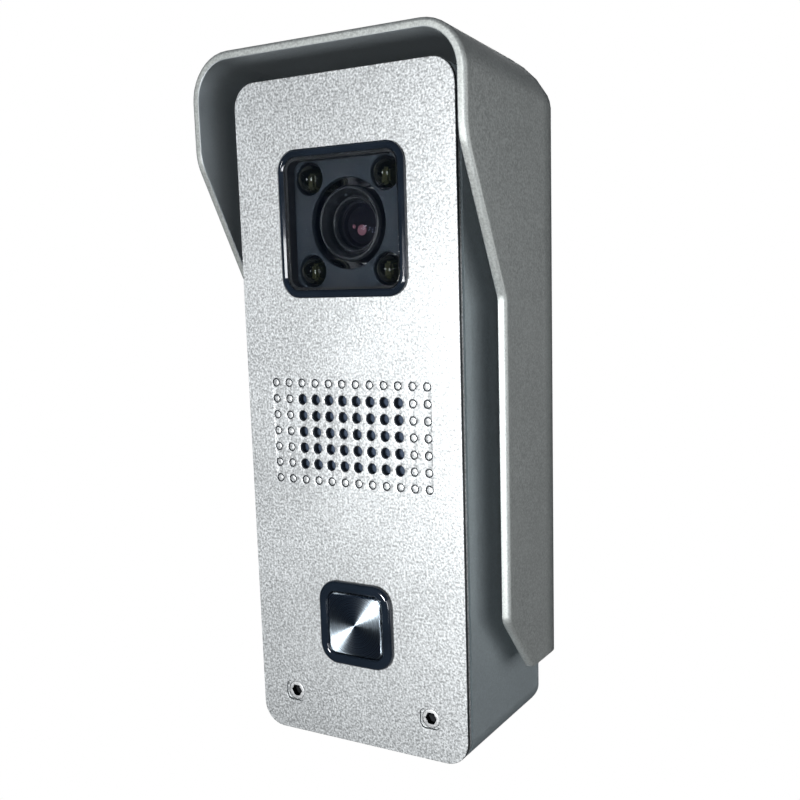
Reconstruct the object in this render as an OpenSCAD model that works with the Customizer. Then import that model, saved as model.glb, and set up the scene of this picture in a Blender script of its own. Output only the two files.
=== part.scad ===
// Door intercom panel: a slim wall unit with a camera, a speaker and a call button,
// standing inside a sheet-metal rain hood that is screwed to the wall.
// +X is to the right of a visitor, +Y goes into the wall and +Z is up.
// The wall is the plane Y = 0 and the origin is the centre of the two wall screws.

/* [Body] */
// Width of the front panel and of the housing
body_w = 48; // [46:0.5:54]
// Height of the front panel and of the housing
body_h = 126.2; // [126:0.2:132]
// Distance from the wall to the front of the panel
body_d = 30.6; // [30:0.2:36]
// Corner radius of the body seen from the front
corner_r = 4.6; // [3:0.2:6]
// Thickness of the front panel
panel_t = 1.4; // [1.2:0.1:1.6]
// Wall thickness of the housing
wall_t = 1.8; // [1.5:0.1:2]
// Radius of the housing's top rear edge, which clears the hood
housing_rear_r = 14.5; // [14:0.1:15]
// Radius of the housing's bottom rear edge
foot_r = 4; // [3:0.5:8]

/* [Rain hood] */
// Thickness of the hood's sheet
hood_t = 1.7; // [1.6:0.1:2]
// Air gap between the hood and each side of the body
hood_side_gap = 3.5; // [3.2:0.1:5]
// Air gap between the hood and the top of the body
hood_top_gap = 2.9; // [2.6:0.1:4]
// Outer radius of the hood's top corners seen from the front
hood_corner_r = 8.6; // [7:0.2:10]
// Outer radius of the hood's top rear edge
hood_rear_r = 18; // [16:0.5:18]
// Outer radius of the hood's upright rear edges
hood_edge_r = 4.2; // [3:0.2:5]
// How far the hood stands in front of the panel at the top
hood_overhang = 5.35; // [3:0.05:8]
// How far the hood's sides stand behind the panel lower down
hood_setback = 7.4; // [4:0.2:10]
// Height of the hood's lower edge above the bottom of the body
hood_bottom_h = 14.1; // [13.6:0.1:16]

/* [Wall fixing] */
// Height of the wall screws' centre above the bottom of the body
mount_h = 72; // [70:1:74]
// Distance between the two wall screws
wall_screw_pitch = 60; // [56:1:62]
// Hole for a wall screw
wall_hole_d = 4.4; // [4:0.1:4.8]
// Countersink of a wall screw
wall_sink_d = 6.8; // [6:0.1:7]
// Bore of the cable grommet
cable_d = 6.6; // [5:0.1:7]

/* [Camera] */
// Width of the camera window's bezel
bezel_w = 27.8; // [27:0.1:28.4]
// Height of the camera window's bezel
bezel_h = 26.9; // [26.4:0.1:27.4]
// Height of the camera's centre above the bottom of the body
camera_h = 99.9; // [99:0.1:101]
// Diameter of the lens barrel's head
lens_d = 13.8; // [12:0.1:14.4]
// Distance of each infrared lamp from the lens axis, sideways and up or down
led_offset = 8.4; // [8.3:0.1:8.6]
// Diameter of an infrared lamp
led_d = 5; // [4.8:0.1:5.2]

/* [Grille] */
// Distance between the grille's marks
grille_pitch = 3.11; // [2.9:0.01:3.2]
// Columns of marks
grille_cols = 12; // [12:2:12]
// Rows of marks
grille_rows = 7; // [7:2:7]
// Height of the grille's centre above the bottom of the body
grille_h = 61.2; // [60:0.1:63]
// Diameter of a sound hole
sound_hole_d = 2; // [1.4:0.1:2.2]
// Diameter of a blind dimple
dimple_d = 1.7; // [1.2:0.1:2]

/* [Call button] */
// Width of the button's bezel
button_bezel_w = 16.7; // [16.6:0.1:17.6]
// Side of the moving cap
cap_w = 12.1; // [11.6:0.1:12.2]
// Height of the button's centre above the bottom of the body
button_h = 24.3; // [23.6:0.1:25]
// Travel of the button
button_travel = 0.8; // [0.4:0.1:0.8]

/* [Panel screws] */
// Distance of each screw from the middle of the panel
panel_screw_x = 15.9; // [15:0.1:17]
// Height of the screws above the bottom of the body
panel_screw_h = 8.07; // [7.6:0.01:8.6]

/* [Hidden] */
$fn = 64;

silver = [0.74, 0.75, 0.76];
hood_grey = [0.46, 0.48, 0.48];
gloss_black = [0.03, 0.04, 0.06];
matt_black = [0.12, 0.13, 0.15];
board_green = [0.08, 0.30, 0.16];
rubber_black = [0.06, 0.06, 0.06];
steel = [0.62, 0.62, 0.64];
lamp_tint = [0.35, 0.37, 0.25, 0.6];

// A hair of extra length so that a cut runs clear of the face it opens
clear = 0.5;

// Y of the panel's front, and of the faces behind it
face_y = -body_d;
panel_back_y = face_y + panel_t;
housing_back_y = -hood_t;
housing_inner_y = housing_back_y - wall_t;

// Z of a height above the bottom of the body
function z_at(h) = h - mount_h;
bottom_z = z_at(0);
top_z = z_at(body_h);
camera_z = z_at(camera_h);
grille_z = z_at(grille_h);
button_z = z_at(button_h);
hood_bottom_z = z_at(hood_bottom_h);
hood_top_z = top_z + hood_top_gap + hood_t;
hood_w = body_w + 2 * (hood_side_gap + hood_t);
hood_back_w = hood_w - 2 * (hood_edge_r + 1);

// Side profile of the hood
hood_front_y = face_y - hood_overhang;
hood_side_y = face_y + hood_setback;
hood_brow_z = hood_top_z - 19;
hood_slope_z = hood_brow_z - 25.8;
hood_chamfer_z = hood_bottom_z + 12.2;
hood_chamfer_y = hood_side_y + 9.9;

// Plate posts for the parts fastened to the back of the front panel
post_d = 4.4;
pilot_d = 1.7;
small_screw_d = 1.6;
camera_post_x = 16.2;
camera_post_l = 6.2;
speaker_post_x = 17.6;
button_post_x = 12.6;
button_post_l = 4.6;

// Recess of each panel screw
pocket_depth = 0.35;
screw_head_d = 3.7;
screw_head_t = 0.65;

// Stack of the camera window, measured back from the panel's front
bezel_proud = 0.9;
pane_sunk = 0.3;
pane_t = 0.8;
pane_gasket_t = 1.8;
pane_gasket_w = 0.5;
mask_t = 1.2;
pane_y = face_y - bezel_proud + pane_sunk;
pane_gasket_y = pane_y + pane_t;
mask_y = pane_gasket_y + pane_gasket_t;
cage_y = mask_y + mask_t;
window_w = bezel_w - 2.8;
window_h = bezel_h - 2.8;
neck_w = bezel_w - 1.4;
neck_h = bezel_h - 1.4;
neck_l = 4.6;
mask_hole_d = lens_d + 2.6;
lamp_hole_d = led_d + 1;
fit_gap = 0.1;
window_r = 2.5;
stack_w = window_w - fit_gap;
stack_h = window_h - fit_gap;

// Camera optics, along the lens axis
lens_y = face_y + 2.2;
lens_head_l = 5;
lens_thread_d = 12;
lens_thread_l = 8.6;
glass_seat = 1.9;
glass_d = lens_d - 3.4;
glass_t = 1.6;
retainer_t = 0.7;
lock_ring_t = 1.6;
camera_board_y = lens_y + 15.8;
board_t = 1.4;
holder_l = 6.6;
holder_d = 15;
sensor_t = 0.9;
led_board_y = -20.4;
led_board_t = 1.2;
led_tip_y = mask_y - 1.6;

// Speaker stack, measured back from the rear of the panel
mesh_t = 0.3;
speaker_d = 28;
speaker_gasket_t = 1;
flange_t = 0.8;
clamp_t = 1;
speaker_y = panel_back_y + mesh_t + speaker_gasket_t;
speaker_post_l = mesh_t + speaker_gasket_t + flange_t;
magnet_d = 15;
magnet_t = 3.6;
basket_l = 4.2;

// Call button stack, measured back from the panel's front
button_proud = 1.1;
cap_sunk = 0.2;
button_lip_y = face_y + 1.8;
cap_flange_t = 1;
cap_flange_w = cap_w + 1.8;
button_neck_w = button_bezel_w - 1.4;
button_pocket_w = cap_w + 2.2;
button_neck_l = 6;
guide_t = 1.5;
button_board_y = face_y + 12.5;
stem_d = 5;
stem_end_y = face_y + 8.2;
switch_y = stem_end_y + 0.95;
switch_w = 6;
plunger_d = 3.5;
plunger_l = 2.1;
plunger_end_gap = 0.45;
spring_d = 8.6;
spring_wire = 0.5;
spring_turns = 3;

// Main board and what stands on it
main_board_w = 28;
main_board_l = 70;
main_board_h = 76;
main_board_t = 1.6;
board_standoff = 2.6;
main_board_y = housing_inner_y - board_standoff - main_board_t;
board_hole_x = 11;
board_hole_dz = 30;
board_screws = [[-1, -1], [1, -1], [-1, 1], [1, 1]];
housing_screws = [[-16.5, 103], [16.5, 38]];
cable_h = 28;
cover_w = body_w - 2 * wall_t - 3.2;
cover_low_z = z_at(15);
cover_top_z = z_at(110);
grommet_d = 11;
mic_y = face_y + 8;

// ---------------------------------------------------------------- shared shapes

// Rectangle with exact round corners, centred
module rounded_rect(w, h, r) {
    square([w - 2 * r, h], center = true);
    square([w, h - 2 * r], center = true);
    for (sx = [-1, 1], sy = [-1, 1])
        translate([sx * (w / 2 - r), sy * (h / 2 - r)]) circle(r);
}

// A drawing in X and Z, made solid from y back to y + t
module along_y(y, t) {
    translate([0, y + t, 0]) rotate([90, 0, 0]) linear_extrude(t) children();
}

// A drawing in Y and Z, made solid across the width w
module along_x(w) {
    translate([-w / 2, 0, 0]) rotate([90, 0, 90]) linear_extrude(w) children();
}

// Upright round bar or hole from y back to y + t, with its axis along Y
module bar(x, y, z, d, t) {
    translate([x, y, z]) rotate([-90, 0, 0]) cylinder(d = d, h = t);
}

// Round bar that goes from diameter d1 at y to diameter d2 at y + t
module taper(x, y, z, d1, d2, t) {
    translate([x, y, z]) rotate([-90, 0, 0]) cylinder(d1 = d1, d2 = d2, h = t);
}

// Pan-head screw with a cross recess. The head's underside is at y, its shank
// goes back along +Y when way is 1 and forward when way is -1
module pan_screw(x, y, z, shank_d, shank_l, way) {
    head_d = 2 * shank_d;
    head_t = 0.62 * shank_d;
    recess_l = 1.2 * shank_d;
    recess_w = 0.3 * shank_d;
    translate([x, y, z]) scale([1, way, 1]) difference() {
        union() {
            bar(0, 0, 0, shank_d, shank_l);
            bar(0, -0.4 * head_t, 0, head_d, 0.4 * head_t);
            taper(0, -head_t, 0, 0.7 * head_d, head_d, 0.6 * head_t);
        }
        for (turn = [0, 90])
            rotate([0, turn, 0]) translate([-recess_l / 2, -head_t - clear, -recess_w / 2])
                cube([recess_l, clear + 0.5 * head_t, recess_w]);
    }
}

// ---------------------------------------------------------------- rain hood

// The hood's closed shape, drawn in by inset on every side but the front and bottom
module hood_block(inset) {
    w = hood_w - 2 * inset;
    top = hood_top_z - inset;
    r = hood_corner_r - inset;
    rear = hood_rear_r - inset;
    edge = hood_edge_r - inset;
    low = bottom_z - 1;
    front = hood_front_y - 1;
    intersection() {
        along_y(front, -front) {
            translate([-w / 2, low]) square([w, top - r - low]);
            translate([-w / 2 + r, low]) square([w - 2 * r, top - low]);
            for (side = [-1, 1]) translate([side * (w / 2 - r), top - r]) circle(r);
        }
        along_x(w) {
            translate([front, low]) square([-inset - front, top - rear - low]);
            translate([front, low]) square([-inset - rear - front, top - low]);
            translate([-inset - rear, top - rear]) circle(rear);
        }
        translate([0, 0, low]) linear_extrude(top - low) {
            translate([-w / 2, front]) square([w, -inset - edge - front]);
            translate([-w / 2 + edge, front]) square([w - 2 * edge, -inset - front]);
            for (side = [-1, 1]) translate([side * (w / 2 - edge), -inset - edge]) circle(edge);
        }
    }
}

// Points of the arc of radius r that rounds the corner at b between a and c
function round_corner(a, b, c, r, steps = 8) =
    let (
        u = (a - b) / norm(a - b),
        w = (c - b) / norm(c - b),
        half = acos(u * w) / 2,
        centre = b + (u + w) / norm(u + w) * r / sin(half),
        from = b + u * r / tan(half) - centre,
        to = b + w * r / tan(half) - centre
    )
    [for (i = [0 : steps]) let (q = from + (to - from) * i / steps) centre + q * r / norm(q)];

// What the hood keeps, seen from the side
module hood_profile() {
    top = [hood_front_y, hood_top_z + 1];
    brow = [hood_front_y, hood_brow_z];
    slope = [hood_side_y, hood_slope_z];
    side = [hood_side_y, hood_chamfer_z];
    low = [hood_chamfer_y, hood_bottom_z];
    wall = [0, hood_bottom_z];
    polygon(concat(
        [wall, [0, hood_top_z + 1], top],
        round_corner(top, brow, slope, 9),
        round_corner(brow, slope, side, 4),
        round_corner(slope, side, low, 3),
        round_corner(side, low, wall, 0.4)
    ));
}

// Outline of the flat back plate, which fills the opening between the hood's bends
module hood_back_outline() {
    top = hood_top_z - hood_rear_r;
    translate([-hood_back_w / 2, hood_bottom_z]) square([hood_back_w, top - hood_bottom_z]);
}

// Sheet hood: a roof and two sides with rounded rear bends, open at the front and below
module rain_hood() {
    color(hood_grey) difference() {
        intersection() {
            difference() {
                hood_block(0);
                hood_block(hood_t);
            }
            along_x(hood_w + 2) hood_profile();
        }
        along_y(-hood_t - clear, hood_t + 2 * clear) hood_back_outline();
    }
}

// Flat plate welded into the back of the hood and screwed to the wall
module hood_back_plate() {
    color(hood_grey) difference() {
        along_y(-hood_t, hood_t) hood_back_outline();
        for (side = [-1, 1]) {
            z = side * wall_screw_pitch / 2;
            bar(0, -hood_t - clear, z, wall_hole_d, hood_t + 2 * clear);
            taper(0, -hood_t, z, wall_sink_d, wall_hole_d, (wall_sink_d - wall_hole_d) / 2);
        }
        bar(0, -hood_t - clear, z_at(cable_h), grommet_d + 3, hood_t + 2 * clear);
        for (p = housing_screws)
            bar(p[0], -hood_t - clear, z_at(p[1]), 2.6, hood_t + 2 * clear);
    }
}

// ---------------------------------------------------------------- housing and panel

// The body's outline seen from the front, drawn in by inset
module body_outline(inset) {
    translate([0, (bottom_z + top_z) / 2])
        rounded_rect(body_w - 2 * inset, body_h - 2 * inset, corner_r - inset);
}

// The housing's outline seen from the side, drawn in by inset, with its round top rear edge
module housing_side(inset) {
    r = housing_rear_r - inset;
    back = housing_back_y - inset;
    top = top_z - inset;
    low = bottom_z + inset;
    translate([panel_back_y - 1, low]) square([back - panel_back_y + 1, top - r - low]);
    translate([panel_back_y - 1, low]) square([back - r - panel_back_y + 1, top - low]);
    translate([back - r, top - r]) circle(r);
}

// What a round bottom rear edge of radius r takes away, seen from the side
module foot_corner(back, low, r) {
    difference() {
        translate([back - r, low - 1]) square([r + 1, r + 1]);
        translate([back - r, low + r]) circle(r);
    }
}

// Outline of the opening in the housing's back wall, drawn in by inset
module cover_outline(inset) {
    translate([0, (cover_low_z + cover_top_z) / 2])
        rounded_rect(cover_w - 2 * inset, cover_top_z - cover_low_z - 2 * inset, 2);
}

// Deep frame round the electronics. Its foot reaches back to the wall below the hood
module housing() {
    shadow_t = 0.6;
    shadow_inset = 0.4;
    foot_top = hood_bottom_z - 0.4;
    hollow_r = 2;
    color(silver) difference() {
        union() {
            intersection() {
                along_y(panel_back_y + shadow_t, housing_back_y - panel_back_y - shadow_t)
                    body_outline(0);
                along_x(body_w) housing_side(0);
            }
            along_y(panel_back_y, shadow_t) body_outline(shadow_inset);
            intersection() {
                along_y(housing_back_y - 1, hood_t + 1) body_outline(0);
                along_x(body_w) translate([housing_back_y - 1, bottom_z])
                    square([hood_t + 1, foot_top - bottom_z]);
            }
        }
        along_x(body_w + 2) foot_corner(0, bottom_z, foot_r);
        // The hollow, which leaves the two screw columns and the microphone's ring
        difference() {
            intersection() {
                along_y(panel_back_y - clear, housing_inner_y - panel_back_y + clear)
                    body_outline(wall_t);
                along_x(body_w) difference() {
                    housing_side(wall_t);
                    foot_corner(housing_inner_y, bottom_z + wall_t, hollow_r);
                }
            }
            for (side = [-1, 1])
                bar(side * panel_screw_x, panel_back_y, z_at(panel_screw_h), 6.4,
                    housing_inner_y - panel_back_y + clear);
            translate([0, mic_y, bottom_z + wall_t - clear]) difference() {
                cylinder(d = 10.4, h = 3.5);
                cylinder(d = 8.5, h = 4);
            }
        }
        // Groove for the panel's gasket
        along_y(panel_back_y - clear, clear + 0.5) difference() {
            body_outline(0.7);
            body_outline(1.4);
        }
        for (side = [-1, 1])
            bar(side * panel_screw_x, panel_back_y - clear, z_at(panel_screw_h), 2.6, 12);
        along_y(housing_inner_y - clear, wall_t + 2 * clear) cover_outline(0);
        // Sound hole for the microphone, in the bottom wall
        translate([0, mic_y, bottom_z - clear]) cylinder(d = 1.6, h = wall_t + 2 * clear);
    }
}

// Cover that closes the back of the housing and carries the main board on four bosses
module rear_cover() {
    rim_t = 0.8;
    rim_w = 1.2;
    color(matt_black) difference() {
        union() {
            along_y(housing_inner_y, wall_t) cover_outline(0);
            along_y(housing_inner_y - rim_t, rim_t) difference() {
                cover_outline(-rim_w);
                cover_outline(rim_w);
            }
            for (s = board_screws)
                bar(s[0] * board_hole_x, housing_inner_y - board_standoff,
                    z_at(main_board_h) + s[1] * board_hole_dz, 5, board_standoff + 0.1);
        }
        for (s = board_screws)
            bar(s[0] * board_hole_x, housing_inner_y - board_standoff - clear,
                z_at(main_board_h) + s[1] * board_hole_dz, 2.1, board_standoff + clear);
        for (p = housing_screws)
            bar(p[0], housing_inner_y - clear, z_at(p[1]), 3.2, wall_t + 2 * clear);
        bar(0, housing_inner_y - clear, z_at(cable_h), grommet_d, wall_t + 2 * clear);
    }
}

// Two posts behind the panel, each with a pilot hole for a screw
module posts(x, z, l) {
    for (side = [-1, 1])
        difference() {
            bar(side * x, panel_back_y - 0.2, z, post_d, l + 0.2);
            bar(side * x, panel_back_y + 0.1, z, pilot_d, l + clear);
        }
}

// Shallow four-sided recess round a panel screw's head
module screw_pocket() {
    rounded_rect(4.5, 3.9, 1.2);
}

// Front panel with the camera opening, the grille, the button opening and two screw recesses
module front_panel() {
    dimple_depth = 0.25;
    tab_w = 7;
    color(silver) {
        difference() {
            along_y(face_y, panel_t) body_outline(0);
            along_y(face_y - clear, panel_t + 2 * clear) translate([0, camera_z])
                rounded_rect(neck_w + 0.3, neck_h + 0.3, 3.2);
            along_y(face_y - clear, panel_t + 2 * clear) translate([0, button_z])
                rounded_rect(button_neck_w + 0.3, button_neck_w + 0.3, 3.2);
            for (col = [0 : grille_cols - 1], row = [0 : grille_rows - 1]) {
                x = (col - (grille_cols - 1) / 2) * grille_pitch;
                z = grille_z + (row - (grille_rows - 1) / 2) * grille_pitch;
                is_open = col > 1 && col < grille_cols - 2 && row > 0 && row < grille_rows - 1;
                if (is_open) bar(x, face_y - clear, z, sound_hole_d, panel_t + 2 * clear);
                else bar(x, face_y - clear, z, dimple_d, clear + dimple_depth);
            }
            for (side = [-1, 1]) {
                along_y(face_y - clear, clear + pocket_depth)
                    translate([side * panel_screw_x, z_at(panel_screw_h)]) screw_pocket();
                bar(side * panel_screw_x, face_y - clear, z_at(panel_screw_h), screw_head_d + 0.1,
                    clear + pocket_depth + screw_head_t);
                bar(side * panel_screw_x, face_y - clear, z_at(panel_screw_h), 2.8,
                    panel_t + 2 * clear);
            }
        }
        posts(camera_post_x, camera_z, camera_post_l);
        posts(speaker_post_x, grille_z, speaker_post_l);
        posts(button_post_x, button_z, button_post_l);
        // Two tabs that hook under the housing's top wall
        for (side = [-1, 1])
            translate([side * 14 - tab_w / 2, panel_back_y - 0.2, top_z - wall_t - 1.3])
                cube([tab_w, 4.2, 1.2]);
    }
}

// Rubber seal between the panel and the housing
module panel_gasket() {
    color(rubber_black) along_y(panel_back_y, 0.45) difference() {
        body_outline(0.75);
        body_outline(1.35);
    }
}

// ---------------------------------------------------------------- camera window

// Black bezel whose neck passes through the panel and frames the pane and the mask
module window_bezel() {
    color(gloss_black) difference() {
        union() {
            along_y(face_y - bezel_proud, bezel_proud)
                translate([0, camera_z]) rounded_rect(bezel_w, bezel_h, 3.9);
            along_y(face_y - 0.1, neck_l + 0.1)
                translate([0, camera_z]) rounded_rect(neck_w, neck_h, 3);
        }
        along_y(face_y - bezel_proud - clear, neck_l + 4)
            translate([0, camera_z]) rounded_rect(window_w, window_h, window_r);
    }
}

// Clear pane, sunk a little into the bezel and bonded to its seal
module window_pane() {
    color([0.8, 0.85, 0.88, 0.25]) along_y(pane_y, pane_t)
        translate([0, camera_z]) rounded_rect(stack_w, stack_h, window_r);
}

// Seal between the pane and the mask
module pane_gasket() {
    color(rubber_black) along_y(pane_gasket_y, pane_gasket_t) translate([0, camera_z])
        difference() {
            rounded_rect(stack_w, stack_h, window_r);
            rounded_rect(stack_w - 2 * pane_gasket_w, stack_h - 2 * pane_gasket_w,
                window_r - pane_gasket_w);
        }
}

// Matt panel with the openings for the lens and the four lamps
module camera_mask() {
    color(matt_black) difference() {
        along_y(mask_y, mask_t)
            translate([0, camera_z]) rounded_rect(stack_w, stack_h, window_r);
        bar(0, mask_y - clear, camera_z, mask_hole_d, mask_t + 2 * clear);
        for (sx = [-1, 1], sz = [-1, 1])
            bar(sx * led_offset, mask_y - clear, camera_z + sz * led_offset, lamp_hole_d,
                mask_t + 2 * clear);
    }
}

// Light-tight frame between the mask and the two camera boards, with two screw ears
module camera_cage() {
    ear_y = panel_back_y + camera_post_l;
    ear_t = 1.4;
    color(matt_black) difference() {
        union() {
            along_y(cage_y, camera_board_y - cage_y)
                translate([0, camera_z]) rounded_rect(stack_w, stack_h, window_r);
            translate([-camera_post_x - 2.6, ear_y, camera_z - 3])
                cube([2 * camera_post_x + 5.2, ear_t, 6]);
        }
        // The front half takes the lamp board, the rear half is narrower
        along_y(cage_y - clear, led_board_y + led_board_t - cage_y + clear)
            translate([0, camera_z]) rounded_rect(stack_w - 1, stack_h - 1, 1.9);
        along_y(cage_y - clear, camera_board_y - cage_y + 2 * clear)
            translate([0, camera_z]) rounded_rect(stack_w - 4.4, stack_h - 4.4, 1.2);
        for (side = [-1, 1])
            bar(side * camera_post_x, ear_y - clear, camera_z, 1.9, ear_t + 2 * clear);
    }
}

// Infrared lamp: a clear dome on a short body, with a collar and two legs
module ir_led(sx, sz) {
    x = sx * led_offset;
    z = camera_z + sz * led_offset;
    r = led_d / 2;
    collar_t = 0.9;
    body_l = led_board_y - led_tip_y - r;
    color(lamp_tint) {
        difference() {
            translate([x, led_tip_y + r, z]) sphere(r);
            bar(x, led_tip_y + r, z, led_d + 1, r + 1);
        }
        bar(x, led_tip_y + r, z, led_d, body_l);
        bar(x, led_board_y - collar_t, z, led_d + 0.3, collar_t);
    }
    color(steel) for (leg = [-1, 1])
        translate([x + leg * 1.27 - 0.22, led_board_y - 0.1, z - 0.22])
            cube([0.44, led_board_t + 1.1, 0.44]);
}

module ir_led_1() { ir_led(-1, 1); }
module ir_led_2() { ir_led(1, 1); }
module ir_led_3() { ir_led(-1, -1); }
module ir_led_4() { ir_led(1, -1); }

// Small board that carries the lamps round the lens
module led_board() {
    color(matt_black) difference() {
        along_y(led_board_y, led_board_t) translate([0, camera_z])
            rounded_rect(stack_w - 1.8, stack_h - 1.8, 1.7);
        bar(0, led_board_y - clear, camera_z, holder_d + 0.6, led_board_t + 2 * clear);
        for (sx = [-1, 1], sz = [-1, 1], leg = [-1, 1])
            bar(sx * led_offset + leg * 1.27, led_board_y - clear, camera_z + sz * led_offset,
                0.8, led_board_t + 2 * clear);
    }
}

// Lens barrel: a stepped head in front of a threaded tube
module lens_barrel() {
    head_back = lens_y + lens_head_l;
    color(matt_black) difference() {
        union() {
            taper(0, lens_y, camera_z, lens_d - 0.6, lens_d, 0.4);
            bar(0, lens_y + 0.4, camera_z, lens_d, lens_head_l - 0.4);
            bar(0, head_back - 0.1, camera_z, lens_thread_d, lens_thread_l + 0.1);
        }
        taper(0, lens_y - 0.01, camera_z, lens_d - 1.4, glass_d + 0.2, glass_seat);
        bar(0, lens_y + glass_seat - 0.1, camera_z, glass_d + 0.2, glass_t + 0.9);
        bar(0, lens_y + glass_seat, camera_z, 8, lens_head_l + lens_thread_l);
    }
}

// Thin ring that holds the front glass in the barrel
module lens_retainer() {
    color(matt_black) difference() {
        bar(0, lens_y + glass_seat, camera_z, glass_d + 0.1, retainer_t);
        taper(0, lens_y + glass_seat - 0.01, camera_z, glass_d - 0.6, glass_d - 1.8,
            retainer_t + 0.02);
    }
}

// Front glass, domed towards the visitor inside its retaining ring
module lens_front_glass() {
    dome_r = 9;
    rim_y = lens_y + glass_seat + retainer_t;
    edge = glass_d / 2 - 0.9;
    sag = dome_r - sqrt(pow(dome_r, 2) - pow(edge, 2));
    color([0.12, 0.08, 0.16, 0.6]) translate([0, rim_y, camera_z]) rotate([90, 0, 0])
        rotate_extrude() {
            translate([0, -glass_t]) square([glass_d / 2, glass_t]);
            intersection() {
                translate([0, sag - dome_r]) circle(dome_r, $fn = 128);
                square([edge, sag + 1]);
            }
        }
}

// Knurled ring that locks the lens in its holder once it is in focus
module lens_lock_ring() {
    y = camera_board_y - holder_l - lock_ring_t;
    color(steel) difference() {
        bar(0, y, camera_z, lens_thread_d + 2.6, lock_ring_t);
        bar(0, y - clear, camera_z, lens_thread_d + fit_gap, lock_ring_t + 2 * clear);
    }
}

// Holder that the lens screws into, on the camera board
module lens_holder() {
    base_w = 16;
    base_t = 2.2;
    y = camera_board_y - holder_l;
    color(matt_black) difference() {
        union() {
            bar(0, y, camera_z, holder_d, holder_l);
            along_y(camera_board_y - base_t, base_t)
                translate([0, camera_z]) rounded_rect(base_w, base_w, 1.5);
        }
        bar(0, y - clear, camera_z, lens_thread_d + fit_gap, holder_l - 1.6 + clear);
        along_y(camera_board_y - 2, 2 + clear)
            translate([0, camera_z]) square([10, 10], center = true);
    }
}

// Image sensor on the camera board
module image_sensor() {
    color([0.10, 0.12, 0.20]) along_y(camera_board_y - sensor_t, sensor_t)
        translate([0, camera_z]) square([7.4, 7.4], center = true);
}

// Board behind the camera
module camera_board() {
    color([0.07, 0.08, 0.10]) along_y(camera_board_y, board_t)
        translate([0, camera_z]) rounded_rect(26, 25, 1);
    color(matt_black) along_y(camera_board_y + board_t - 0.1, 1.1)
        translate([0, camera_z - 3]) square([9, 7], center = true);
}

module camera_screw(side) {
    color(steel) pan_screw(side * camera_post_x, panel_back_y + camera_post_l + 1.4, camera_z,
        small_screw_d, 5.6, -1);
}

module camera_screw_1() { camera_screw(-1); }
module camera_screw_2() { camera_screw(1); }

// ---------------------------------------------------------------- speaker

// Dust cloth behind the sound holes
module grille_mesh() {
    color(matt_black) bar(0, panel_back_y, grille_z, speaker_d + 2, mesh_t);
}

// Foam ring between the panel and the speaker
module speaker_gasket() {
    color(rubber_black) difference() {
        bar(0, panel_back_y + mesh_t, grille_z, speaker_d + 2, speaker_gasket_t);
        bar(0, panel_back_y, grille_z, speaker_d - 1.6, 2 * speaker_gasket_t + mesh_t);
    }
}

// Pressed basket with a flat flange
module speaker_frame() {
    wall = 0.7;
    color(steel) difference() {
        union() {
            bar(0, speaker_y, grille_z, speaker_d, flange_t);
            taper(0, speaker_y + flange_t - 0.05, grille_z, speaker_d - 6, magnet_d + 1,
                basket_l - flange_t + 0.05);
        }
        bar(0, speaker_y - clear, grille_z, speaker_d - 6 - 2 * wall, clear + flange_t);
        taper(0, speaker_y + flange_t - 0.06, grille_z, speaker_d - 6 - 2 * wall,
            magnet_d + 1 - 2 * wall, basket_l - flange_t - wall + 0.06);
        bar(0, speaker_y, grille_z, 8, basket_l + clear);
    }
}

// Thin cone with its round dust cap
module speaker_cone() {
    color([0.10, 0.10, 0.11]) difference() {
        taper(0, speaker_y + 0.3, grille_z, speaker_d - 7.8, magnet_d - 2, 2.2);
        taper(0, speaker_y + 0.29, grille_z, speaker_d - 8.6, magnet_d - 2.8, 1.9);
    }
}

// Magnet and its rear plate
module speaker_magnet() {
    color(steel) {
        bar(0, speaker_y + basket_l, grille_z, magnet_d, magnet_t);
        bar(0, speaker_y + basket_l + magnet_t - 0.1, grille_z, magnet_d - 2, 0.9);
    }
}

// Ring with two ears that clamps the speaker's flange
module speaker_clamp() {
    ear_y = panel_back_y + speaker_post_l;
    color(steel) difference() {
        union() {
            bar(0, ear_y, grille_z, speaker_d + 1.6, clamp_t);
            translate([-speaker_post_x - 2.4, ear_y, grille_z - 2.6])
                cube([2 * speaker_post_x + 4.8, clamp_t, 5.2]);
        }
        bar(0, ear_y - clear, grille_z, speaker_d - 5, clamp_t + 2 * clear);
        for (side = [-1, 1])
            bar(side * speaker_post_x, ear_y - clear, grille_z, 1.9, clamp_t + 2 * clear);
    }
}

module speaker_screw(side) {
    color(steel) pan_screw(side * speaker_post_x, panel_back_y + speaker_post_l + clamp_t,
        grille_z, small_screw_d, 2.8, -1);
}

module speaker_screw_1() { speaker_screw(-1); }
module speaker_screw_2() { speaker_screw(1); }

// ---------------------------------------------------------------- call button

// Black bezel round the button, with a neck that guides the cap
module button_bezel() {
    color(gloss_black) difference() {
        union() {
            along_y(face_y - button_proud, button_proud)
                translate([0, button_z]) rounded_rect(button_bezel_w, button_bezel_w, 4);
            along_y(face_y - 0.1, button_neck_l + 0.1)
                translate([0, button_z]) rounded_rect(button_neck_w, button_neck_w, 3);
        }
        along_y(face_y - button_proud - clear, button_neck_l + 4)
            translate([0, button_z]) rounded_rect(cap_w + 0.4, cap_w + 0.4, 1.8);
        along_y(button_lip_y, button_neck_l)
            translate([0, button_z]) rounded_rect(button_pocket_w, button_pocket_w, 2);
    }
}

// Moving cap with its stop flange and stem
module button_cap() {
    y = face_y - button_proud + cap_sunk;
    color([0.16, 0.18, 0.20]) {
        along_y(y, button_lip_y + 0.05 - y)
            translate([0, button_z]) rounded_rect(cap_w, cap_w, 1.6);
        along_y(button_lip_y, cap_flange_t)
            translate([0, button_z]) rounded_rect(cap_flange_w, cap_flange_w, 1.8);
        bar(0, button_lip_y + cap_flange_t - 0.1, button_z, stem_d,
            stem_end_y - button_lip_y - cap_flange_t + 0.1);
    }
}

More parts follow.
